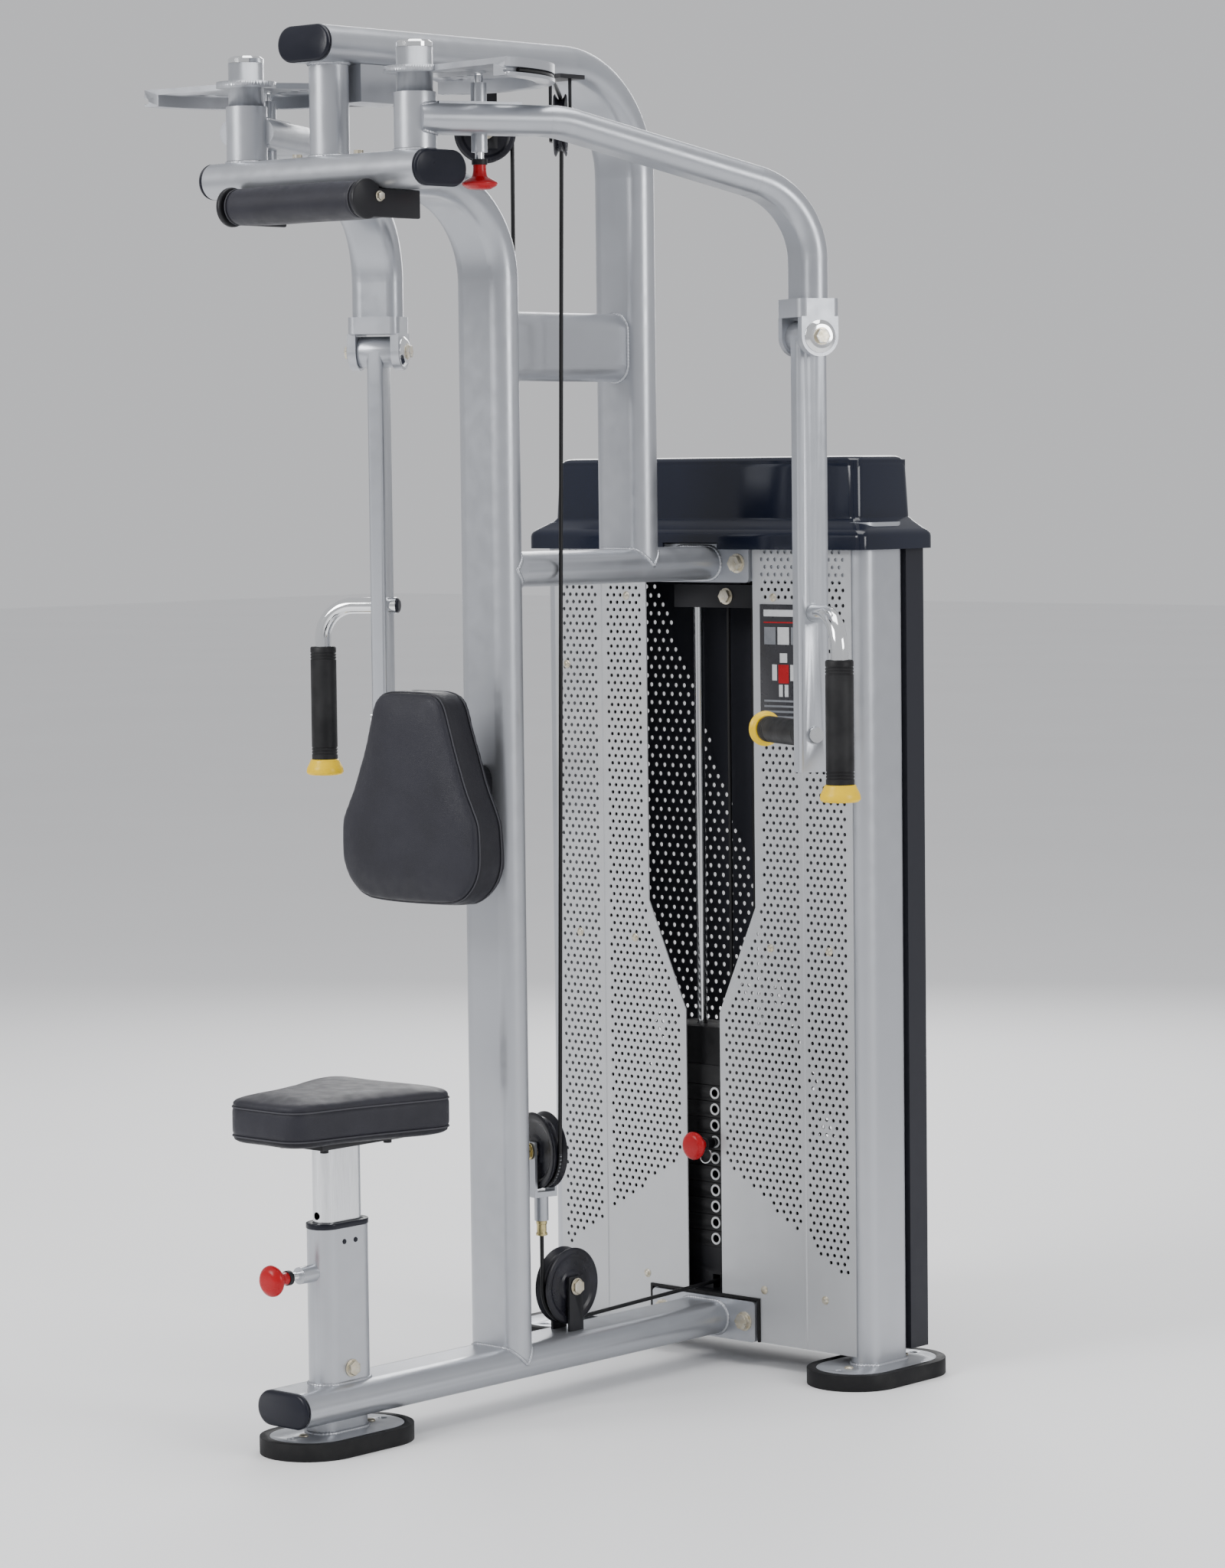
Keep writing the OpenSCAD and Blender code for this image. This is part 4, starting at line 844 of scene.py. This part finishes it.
def make_shrouds():
    outline = [(107, 1254), (107, 700), (34, 535), (34, 104), (110, 104), (110, 37), (296, 37), (296, 1254)]

    def front_holes(x, z):
        x = abs(x)
        low = 300 - (x - 57.6) * (300.4 - 140.5) / (293.4 - 57.6)
        if z < low or abs(x - 200) < 9:
            return False
        return not (118 < x < 218 and 968 < z < 1162 and front_holes.side > 0)

    for side, word in ((1, "right"), (-1, "left")):
        front_holes.side = side
        shape = [(side * x, z) for x, z in outline]
        if side < 0:
            shape = shape[::-1]
        sheet = punched(word + "_shroud_sheet", shape, front_holes, SHROUD_FRONT, SHROUD_FRONT + 2,
                        "shroud_sheet")
        attach(sheet, "root", word + "_shroud")
        fold = rib(word + "_shroud_fold", *sorted((side * 197, side * 203)), 40, 1250, SHROUD_FRONT + 0.3,
                   1.5,
                   "shroud_sheet")
        attach(fold, "root")

    wide = TOWER_X + 22

    def rear_holes(x, z):
        return abs(x) < 235 and 330 < z < 1077 - 2.4 * (x + 159)

    back = punched("rear_shroud_sheet", [(-wide, 37), (wide, 37), (wide, 1254), (-wide, 1254)], rear_holes,
                   REAR_PLANE - 2, REAR_PLANE, "dark_sheet", pitch=(17.0, 14.0), hole=3.6, margin=20)
    attach(back, "root", "rear_shroud")
    front = TOWER_Y + 50.3
    for side, word in ((1, "right"), (-1, "left")):
        profile = [(wide, REAR_PLANE - 2), (wide, front), (wide - 36, front), (wide - 36, front + 2),
                   (wide - 2, front + 2), (wide - 2, REAR_PLANE - 2)]
        verts = [row(side * x, y, z) for z in (37, 1254) for x, y in profile]
        n = len(profile)
        faces = [tuple(range(n)), tuple(range(n, 2 * n))[::-1]]
        faces += [(i, (i + 1) % n, (i + 1) % n + n, i + n) for i in range(n)]
        flange = mesh_object(word + "_rear_side", verts, faces, "dark_sheet", smooth=False)
        attach(flange, "root")


# ---------------------------------------------------------------- turned parts

def knob_and_rod(node, name, knob, rod, origin, axis, body):
    """A moulded red knob and its steel rod, which stand for one CAD node."""
    red = lathe(name + "_knob", [(r * MM, h * MM) for r, h in knob], "red_knob", origin, axis)
    steel = lathe(name + "_rod", [(r * MM, h * MM) for r, h in rod], "chrome", origin, axis, 32)
    attach(red, body, node)
    attach(steel, body, node)
    return red


def make_knobs():
    # seat pin: mushroom knob, collar and plunger
    start = row(0, -26, 250)
    face = rounded([(0, 0), (15, 1), (22, 8), (22, 14), (13, 22), (9, 30), (9, 45)], 4)
    knob_and_rod("seat_pin", "seat_pin", face, [(0, 10), (6, 10), (6, 98.2), (5, 98.7), (0, 98.7)],
                 start, (0, 1, 0), "seat_lock")
    collar = lathe("seat_pin_collar", [(r * MM, h * MM) for r, h in
                   rounded([(6.2, 38), (10.5, 38), (10.5, 45.5), (6.2, 45.5)], 1)], "black_metal", start,
                   (0, 1, 0))
    attach(collar, "seat_lock")
    # selector pin
    start = row(0, 876, 330.5)
    knob = rounded([(0, -7), (16, -5.5), (22, 0), (20.5, 5), (10, 9), (9, 22), (0, 22)], 3)
    rod = [(0, 20), (7.3, 20), (7.3, 47.5), (4.9, 48), (4.9, 104), (3.5, 105), (0, 105)]
    knob_and_rod("selector_pin", "selector_pin", knob, rod, start, (0, 1, 0), "selector")
    band = lathe("selector_band", [(r * MM, h * MM) for r, h in
                 rounded([(7.4, 24), (10.5, 24), (10.5, 40), (7.4, 40)], 1.5)], "black_metal", start,
                 (0, 1, 0))
    attach(band, "selector")
    ring = [start + Vector((0, 0.030, -0.0185)) +
            Vector((0.011 * math.cos(a), 0.002 * math.sin(a), 0.011 * math.sin(a)))
            for a in (2 * math.pi * k / 40 for k in range(40))]
    attach(tube("selector_ring", ring, 0.0011, "chrome", 8, closed=True), "selector")
    # arm pins
    for side, word in ((1, "right"), (-1, "left")):
        base = arm_frame(side) @ Vector((92 * MM, 0, 0))
        origin = Vector((base.x, base.y, 1745 * MM))
        disc = rounded([(0, 0), (15, 0.8), (24, 6), (25, 10), (17, 15), (10.5, 18), (9, 26), (9, 38)], 3)
        rod = [(0, 12), (6, 12), (6, 155.7), (5, 156.5), (0, 156.5)]
        knob_and_rod(word + "_pull_pin", word + "_arm_pin", disc, rod, origin, (0, 0, 1), word + "_arm_lock")
        ferrule = lathe(word + "_arm_pin_collar", [(r * MM, h * MM) for r, h in
                        rounded([(6.2, 34), (10.8, 34), (10.8, 41.8), (6.2, 41.8)], 1)], "black_metal",
                        origin)
        attach(ferrule, word + "_arm_lock")


def grip_profile(radius, low, high, end=4.5):
    """A moulded hand grip with shallow rings near both ends."""
    pts = [(radius - 4, low), (radius, low)]
    for base in (low + 7, high - 7 - 3 * end):
        for k in range(3):
            h = base + k * end
            pts += [(radius, h), (radius - 0.8, h + 0.8), (radius - 0.8, h + 1.9), (radius, h + 2.7)]
    return pts + [(radius, high - 2), (radius - 1.5, high), (radius - 4, high)]


def make_grips():
    for side, word in ((1, "right"), (-1, "left")):
        place = arm_frame(side)
        body = word + "_bar_body"
        # upright grip
        at = place @ Vector((580 * MM, -97 * MM, 0))
        grip_top, grip_l = 1094, 174
        sleeve = lathe(word + "_grip", [(r * MM, h * MM) for r,
                                        h in grip_profile(20, grip_top - grip_l, grip_top)],
                       "grip", at)
        attach(sleeve, body, word + "_grips")
        z = grip_top - grip_l
        flare = rounded([(0, z - 24.8), (25, z - 24.8), (29, z - 21), (28, z - 14), (23.5, z - 5),
                         (21.8, z - 0.4),
                         (0, z - 0.4)], 2)
        cap = lathe(word + "_grip_flare", [(r * MM, h * MM) for r, h in flare], "yellow_cap", at)
        attach(cap, body, word + "_grips")
        plug = rounded([(0, z - 26), (8, z - 26), (10, z - 24.4), (0, z - 24.4)], 1)
        attach(lathe(word + "_grip_plug", [(r * MM, h * MM) for r, h in plug], "grip", at), body)
        # level grip on the bar's inner side
        at = place @ Vector((580 * MM, 13.5 * MM, 985 * MM))
        along = (place.to_3x3() @ Vector((0, 1, 0))).normalized()
        sleeve = lathe(word + "_inner_grip", [(r * MM, h * MM) for r, h in grip_profile(19, 0, 141)],
                       "grip", at, along)
        attach(sleeve, body, word + "_grips")
        flare = rounded([(0, 142), (20.5, 142), (23, 148), (26, 151), (25, 154), (0, 154)], 2)
        cap = lathe(word + "_inner_flare", [(r * MM, h * MM) for r, h in flare], "yellow_cap", at, along)
        attach(cap, body, word + "_grips")
        # handle: bent chrome tube with its plug, and the short tube in the level grip
        line = [Vector((580, 24, 1157)), Vector((580, 0, 1157)), Vector((580, -47, 1157))]
        line += [Vector((580, -47 - 50 * math.sin(a), 1107 + 50 * math.cos(a)))
                 for a in (math.pi / 2 * k / 14 for k in range(1, 15))]
        line += [Vector((580, -97, 1080)), Vector((580, -97, 925))]
        bent = tube(word + "_handle_tube", [place @ (p * MM) for p in line], 0.0125, "chrome", 28)
        attach(bent, body, word + "_handles")
        short = [place @ (Vector((580, y, 985)) * MM) for y in (-18.5, 0, 60, 153)]
        attach(tube(word + "_inner_tube", short, 0.011, "chrome", 24), body, word + "_handles")
        end = place @ (Vector((580, 24, 1157)) * MM)
        plug = rounded([(0, 0), (11.5, 0), (11.5, 2.5), (8, 4), (0, 4)], 1)
        attach(lathe(word + "_handle_plug", [(r * MM, h * MM) for r, h in plug], "end_cap", end, along), body)


def wheel(node, name, origin, axis, radius, groove, thick, body, bolt):
    """A moulded pulley with bevelled, dished faces and a bolt through its middle."""
    h = thick / 2
    side = [(6.2, h), (13, h), (14, h - 1.2), (radius * 0.36, h - 1.2), (radius * 0.42, h - 3.6),
            (radius * 0.74, h - 3.6), (radius * 0.82, h - 0.6), (radius - 3, h - 0.4), (radius - 0.4, h - 2)]
    low = groove - 3.3
    profile = side + [(radius - 0.6, h - 3), (low + 1, 3.6), (low, 2.2), (low, -2.2), (low + 1, -3.6),
                      (radius - 0.6, 3 - h)] + [(r, -z) for r, z in side[::-1]]
    disc = lathe(name, [(r * MM, z * MM) for r, z in rounded(profile, 0.8, 2)], "pulley", origin, axis, 72)
    # close the bore's wall
    attach(disc, body, node)
    bore = lathe(name + "_bush", [(6.25 * MM, -h * MM), (12.5 * MM, -h * MM - 0.0006),
                                  (12.5 * MM, h * MM + 0.0006),
                                  (6.25 * MM, h * MM)], bolt, origin, axis, 40)
    attach(bore, body)
    return disc


def make_pulleys():
    spin = math.radians(-15)
    wheel("lower_pulley", "lower_wheel_disc", row(0, 587, 158), (1, 0, 0), 57, 53, 26, "lower_wheel",
          "zinc_bolt")
    wheel("float_pulley", "float_wheel_disc", row(0, 534, 366), (-math.sin(spin), math.cos(spin), 0), 57,
          53, 26,
          "float_wheel", "brass")
    for word in ("right", "left"):
        where, axis = joint_at(word + "_redirect_spin")
        wheel(word + "_redirect_pulley", word + "_redirect_disc", where, axis, 45, 40, 20,
              word + "_redirect_wheel",
              "zinc_bolt")
    where, axis = joint_at("tower_upper_spin")
    wheel("tower_upper_pulley", "crown_disc", where, axis, 33.5, 28.5, 20, "tower_upper_wheel", "zinc_bolt")
    where, axis = joint_at("tower_lower_spin")
    wheel("tower_lower_pulley", "sheave_disc", where, axis, 26, 22, 18, "tower_lower_wheel", "zinc_bolt")


def bolt_head(name, origin, axis, size, height, body, material="zinc_bolt", washer=1.15):
    """A hexagon head with a chamfered top on a washer."""
    turn = Vector((0, 0, 1)).rotation_difference(Vector(axis)).to_matrix().to_4x4()
    place = Matrix.Translation(origin) @ turn
    disc = lathe(name + "_washer", [(r * MM, h * MM) for r, h in
                 rounded([(0, 0), (size * washer, 0), (size * washer, 1.5), (0, 1.6)], 0.5)], material,
                 origin, axis, 32)
    attach(disc, body)
    verts, faces = [], []
    for r, z in ((size, 1.5), (size, height - 1), (size * 0.86, height)):
        verts += [place @ (Vector((r * math.cos(a), r * math.sin(a), z)) * MM)
                  for a in (math.pi / 3 * k for k in range(6))]
    for i in range(2):
        faces += [(i * 6 + k, i * 6 + (k + 1) % 6, i * 6 + 6 + (k + 1) % 6, i * 6 + 6 + k) for k in range(6)]
    faces += [tuple(range(6))[::-1], tuple(range(12, 18))]
    head = mesh_object(name, verts, faces, material, smooth=False)
    return attach(head, body)


def make_fasteners():
    spin = math.radians(-15)
    front = Vector((math.sin(spin), -math.cos(spin), 0))
    bolt_head("float_bolt", row(0, 534, 366) + front * 0.0202, front, 11, 7, "floater", "brass")
    bolt_head("float_nut", row(0, 534, 366) - front * 0.0202, -front, 11, 8, "floater", "brass")
    bolt_head("lower_bolt", row(20.2, 587, 158), (1, 0, 0), 11, 7, "root")
    bolt_head("lower_nut", row(-20.2, 587, 158), (-1, 0, 0), 11, 8, "root")
    for word in ("right", "left"):
        where, axis = joint_at(word + "_redirect_spin")
        for sign, end in ((1, "a"), (-1, "b")):
            bolt_head(f"{word}_redirect_bolt_{end}", where + axis * sign * 0.0172, axis * sign, 9, 6, "root")
    # foot bolts seen as domes on the foot plates
    for i, (x, y) in enumerate(((0, 107), (-TOWER_X, 948), (TOWER_X, 948))):
        for s in (-1, 1):
            place = row(x, y + s * 66, 24)
            dome = lathe(f"foot_stud_{i}_{s + 1}", [(r * MM, h * MM) for r, h in
                         rounded([(0, 3.2), (5, 2.8), (7, 1), (7, -0.2), (0, -0.2)][::-1], 0.8)],
                         "zinc_bolt", place)
            attach(dome, "root")


# ---------------------------------------------------------------- cables

def cable_piece(name, points, body=None, node=None, radius=3.0):
    """A steel cable in a smooth black sleeve."""
    piece = tube(name, points, radius * MM, "cable", 12)
    if body:
        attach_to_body(piece, body)
    if node:
        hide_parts(node)
    return piece


def line_points(a, b, step=0.02):
    n = max(2, int((b - a).length / step))
    return [a.lerp(b, i / n) for i in range(n + 1)]


def make_cables():
    spin = math.radians(-15)
    low_x, low_y = 53 * math.cos(spin), 53 * math.sin(spin)
    runs = ((1, "right", 544), (-1, "left", 562))
    for side, word, y in runs:
        a = row(side * low_x, 534 + side * low_y, 366.3)
        b = row(side * 57, y, 1853.5)
        piece = cable_piece(word + "_cable_run", line_points(a, b), node="arm_cable_runs")
        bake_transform(piece)
    arc = [row(53 * math.cos(t) * math.cos(spin), 534 + 53 * math.cos(t) * math.sin(spin),
               366 + 53 * math.sin(t))
           for t in (math.pi + math.pi * k / 30 for k in range(31))]
    cable_piece("float_cable", arc, "floater", radius=3.15)
    fitting = lathe("drop_fitting", [(r * MM, h * MM) for r, h in rounded(
        [(0, 239.6), (8.6, 239.6), (8.6, 243), (7.3, 244), (7.3, 256), (8.2, 257), (8.2, 262.3),
         (0, 262.3)], 0.8, 2)],
        "brass", row(0, 534, 0), steps=40)
    attach(fitting, "floater")
    a, b = row(0, 534, 240), row(0, 534, 158)
    drop = cable_piece("weight_drop", line_points(a, b, 0.008), node="weight_cable_drop")
    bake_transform(drop)
    a, b = row(0, 971, 528), row(0, 971, 1298)
    lift = cable_piece("stack_cable_run", line_points(a, b), node="stack_cable")
    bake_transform(lift)


def split_cam(word, side, y):
    """The cam's plate without the cable in its groove; the cable is a piece of its own that winds on."""
    node = word + "_cam"
    pivot, _ = joint_at(word + "_cam_turn")
    obj = add_object(node + "_plate", NODES[node].data.copy(), "frame_paint")
    bm = bmesh.new()
    bm.from_mesh(obj.data)
    bmesh.ops.remove_doubles(bm, verts=bm.verts, dist=2e-6)
    left = set(bm.verts)
    while left:
        stack = [left.pop()]
        group = set(stack)
        while stack:
            v = stack.pop()
            for e in v.link_edges:
                o = e.other_vert(v)
                if o not in group:
                    group.add(o)
                    stack.append(o)
        left -= group
        nearest = min((Vector((v.co.x, v.co.y, 0)) - Vector((pivot.x, pivot.y, 0))).length for v in group)
        if nearest > 0.15:
            bmesh.ops.delete(bm, geom=list(group), context="VERTS")
    bm.to_mesh(obj.data)
    bm.free()
    smooth_by_angle(obj, 35)
    attach(obj, word + "_cam_body", node)
    run_dx, run_dy = PIVOT_X - 57, BEAM_Y - y
    dist = math.hypot(run_dx, run_dy)
    run_angle = math.atan2(run_dy, run_dx) + math.asin(186 / dist)
    leave = run_angle + math.pi / 2
    clamp = math.radians(2)
    if leave < clamp:
        leave += 2 * math.pi
    steps = 60
    points = [row(side * (PIVOT_X + 186 * math.cos(t)), BEAM_Y + 186 * math.sin(t), 1894)
              for t in (leave + (clamp - leave) * k / steps for k in range(steps + 1))]
    arc = cable_piece(word + "_cam_cable", points, node=node)
    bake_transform(arc)


# ---------------------------------------------------------------- cover

def rounded_ring(x, y0, y1, r, steps=8):
    """A rectangle's outline with round corners, in layout millimetres."""
    out = []
    for cx, cy, turn in ((x - r, y1 - r, 0), (r - x, y1 - r, 90), (r - x, y0 + r, 180), (x - r, y0 + r, 270)):
        for k in range(steps + 1):
            a = math.radians(turn + 90 * k / steps)
            out.append((cx + r * math.cos(a), cy + r * math.sin(a)))
    return out


def make_cover():
    """A moulded hood: a skirt with a sloping shoulder, then a tall crown with large radii."""
    low, high = 1240, 1378
    skirt = (335, 882, 1054)
    crown = (303, 908, 1042)
    levels = [(skirt, 0, low, 14), (skirt, 0, 1258, 14), (skirt, 0.6, 1262, 14), (skirt, 2.5, 1266, 15),
              (skirt, 7, 1270, 17), (skirt, 24, 1281, 16), (skirt, 29, 1284.5, 15)]
    levels += [(crown, 0.3, 1287, 15), (crown, 0.3, 1290, 15), (crown, 3, 1362, 16), (crown, 4.5, 1370, 17),
               (crown, 7.5, 1375, 19), (crown, 12, 1377.4, 20), (crown, 18, high, 20)]
    rings = []
    for (x, y0, y1), inset, z, r in levels:
        narrow = min(inset, (26 if x == 335 else inset))
        rings.append([row(px, py, z) for px, py in
                      rounded_ring(x - inset, y0 + narrow, y1 - min(inset, 11 if x == 335 else inset), r)])
    inner = [[row(px, py, z) for px, py in rounded_ring(x, y0, y1, 12)]
             for x, y0, y1, z in ((331, 886, 1050, low), (331, 886, 1050, 1256), (299, 912, 1038, 1262),
                                  (299, 912, 1038, 1372))]
    loops = [inner[3], inner[2], inner[1], inner[0]] + rings
    n = len(loops[0])
    verts = [p for loop in loops for p in loop]
    faces = [(i * n + k, i * n + (k + 1) % n, (i + 1) * n + (k + 1) % n, (i + 1) * n + k)
             for i in range(len(loops) - 1) for k in range(n)]
    faces += [tuple(range(n)), tuple(range((len(loops) - 1) * n, len(loops) * n))]
    hood = mesh_object("top_cover_hood", verts, faces, "cover")
    # notch over the link tube
    cut = mesh_object("notch", [row(x, y, z) for z in (1230, 1250) for x, y in
                                ((-54, 870), (54, 870), (54, 911), (-54, 911))],
                      [(0, 1, 2, 3), (4, 7, 6, 5), (0, 4, 5, 1), (1, 5, 6, 2), (2, 6, 7, 3), (3, 7, 4, 0)],
                      "cover",
                      smooth=False)
    tool = hood.modifiers.new("notch", "BOOLEAN")
    tool.operation = "DIFFERENCE"
    tool.object = cut
    apply_modifiers(hood)
    bpy.data.objects.remove(cut)
    smooth_by_angle(hood, 42)
    paint(hood, "cover")
    attach(hood, "root", "top_cover")


def make_details():
    # pale rings round the plates' selector holes
    for i in range(10):
        body = "root" if i < 6 else "stack"
        z = 168 + 25 * i + 12.5 + (0.3 if i > 5 else 0)
        bush = lathe(f"plate_hole_ring_{i}", [(r * MM, h * MM) for r, h in
                     ((6.1, -0.3), (9.2, -0.3), (9.2, 0.5), (8.6, 1.0), (6.8, 1.0), (6.1, 0.5))],
                     "print_light", row(0, 928, z), (0, -1, 0), 32, ring=True)
        attach(bush, body)
    for y in (102, 124):
        for x in (1, -1):
            plug = lathe(f"sleeve_plug_{y}_{x + 1}", [(r * MM, h * MM) for r, h in
                         rounded([(0, 1.2), (3.2, 1.2), (3.8, -0.2)], 0.4)], "end_cap", row(x * 25, y, 292),
                         (x, 0, 0), 20)
            attach(plug, "root")
    # polished washers and bolts over the knuckles' pins
    for side, word in ((1, "right"), (-1, "left")):
        place = arm_frame(side)
        for s in (1, -1):
            out = (place.to_3x3() @ Vector((0, s, 0))).normalized()
            at = place @ (Vector((580, s * 40.8, 1545)) * MM)
            dome = rounded([(0, 5.8), (10, 5.8), (17.6, 5.4), (23.2, 1.0), (23.2, 0)], 1.2)
            attach(lathe(f"{word}_knuckle_dome_{s + 1}", [(r * MM, h * MM) for r, h in dome], "chrome", at,
                         out),
                   word + "_arm_body")
            bolt_head(f"{word}_knuckle_bolt_{s + 1}", at + out * 0.0045, out, 10.8, 7.9, word + "_arm_body")


# ---------------------------------------------------------------- placard

def panel(name, x0, x1, z0, z1, y, material, depth=0.5):
    verts = [row(x, yy, z) for yy in (y, y + depth) for x, z in ((x0, z0), (x1, z0), (x1, z1), (x0, z1))]
    faces = [(0, 1, 2, 3), (7, 6, 5, 4), (0, 4, 5, 1), (1, 5, 6, 2), (2, 6, 7, 3), (3, 7, 4, 0)]
    return attach(mesh_object(name, verts, faces, material, smooth=False), "root")


def make_placard():
    soften("placard", 0.0006)
    y = 899.9 - 0.35
    panel("placard_head", 130, 206, 1140, 1150, y, "print_light")
    panel("placard_rule", 130, 206, 1130, 1132, y, "red_knob")
    for i in range(3):
        x = 131 + i * 26
        panel(f"placard_tile_{i}", x, x + 22, 1098, 1124, y, "print_light" if i % 2 else "print_grey")
    for i in range(4):
        panel(f"placard_line_{i}", 130, 206 - 14 * (i % 2), 988 + i * 8, 991 + i * 8, y, "print_grey")
    # plain figure: head, trunk, arms and legs
    figure = [(161, 175, 1071, 1085), (158, 178, 1040, 1068), (146, 155, 1044, 1068), (181, 190, 1044, 1068),
              (159, 166, 1020, 1038), (170, 177, 1020, 1038)]
    for i, (x0, x1, z0, z1) in enumerate(figure):
        panel(f"placard_figure_{i}", x0, x1, z0, z1, y, "red_knob" if i == 1 else "print_light")


# ---------------------------------------------------------------- build

def make_pieces():
    for node, width in (("end_caps", 0.0045), ("foot_pads", 0.004), ("foot_plates", 0.0012),
                        ("head_plate", 0.004),
                        ("resting_plates", 0.0016), ("lifted_plates", 0.0016), ("back_pad_bracket", 0.003),
                        ("roller_bracket", 0.002), ("seat_collar", 0.0022), ("stack_base", 0.002),
                        ("rod_bracket", 0.0025), ("seat_plate", 0.0015), ("edge_trim", 0.0008),
                        ("pulley_brackets", 0.0008), ("right_bar", 0.0016), ("left_bar", 0.0016),
                        ("shroud_screws", 0.0004), ("frame_bolts", 0.0008)):
        soften(node, width)
    make_cover()
    make_details()
    coped_end("link_tube_cope", 446, 1219, 474)
    make_welds()
    make_shrouds()
    make_knobs()
    make_grips()
    make_pulleys()
    make_fasteners()
    make_cables()
    split_cam("right", 1, 544)
    split_cam("left", -1, 562)
    make_placard()
    make_cushions()


make_pieces()


# ---------------------------------------------------------------- stage

def make_stage():
    low, high = CAD_BOX
    size = 30
    floor = mesh_object("floor", [(-size, -size, 0), (size, -size, 0), (size, size, 0), (-size, size, 0)],
                        [(0, 1, 2, 3)], "print_light", smooth=False)
    s = Shader("floor_paint", (0.92, 0.92, 0.925), 0, 0.75)
    s.tint(s.noise(0.8), (0.90, 0.90, 0.905), 0.8)
    floor.data.materials[0] = s.material
    world = bpy.data.worlds.new("studio")
    bpy.context.scene.world = world
    world.use_nodes = True
    world.node_tree.nodes["Background"].inputs["Color"].default_value = (0.97, 0.975, 1.0, 1)
    world.node_tree.nodes["Background"].inputs["Strength"].default_value = 0.66
    middle = (low + high) / 2
    lamps = (("key", (-1.2, -4.2, 3.4), 2.0, 165), ("fill", (4.6, 0.4, 2.2), 1.6, 70),
             ("top", (0.3, 0.2, 4.6), 2.6, 105), ("back", (-2.5, 3.6, 2.6), 2.2, 90))
    for name, place, width, watts in lamps:
        data = bpy.data.lights.new(name, "AREA")
        data.size = width
        data.energy = watts
        lamp = bpy.data.objects.new(name, data)
        bpy.context.scene.collection.objects.link(lamp)
        lamp.location = place
        lamp.rotation_euler = (middle - Vector(place)).to_track_quat("-Z", "Y").to_euler()


make_stage()
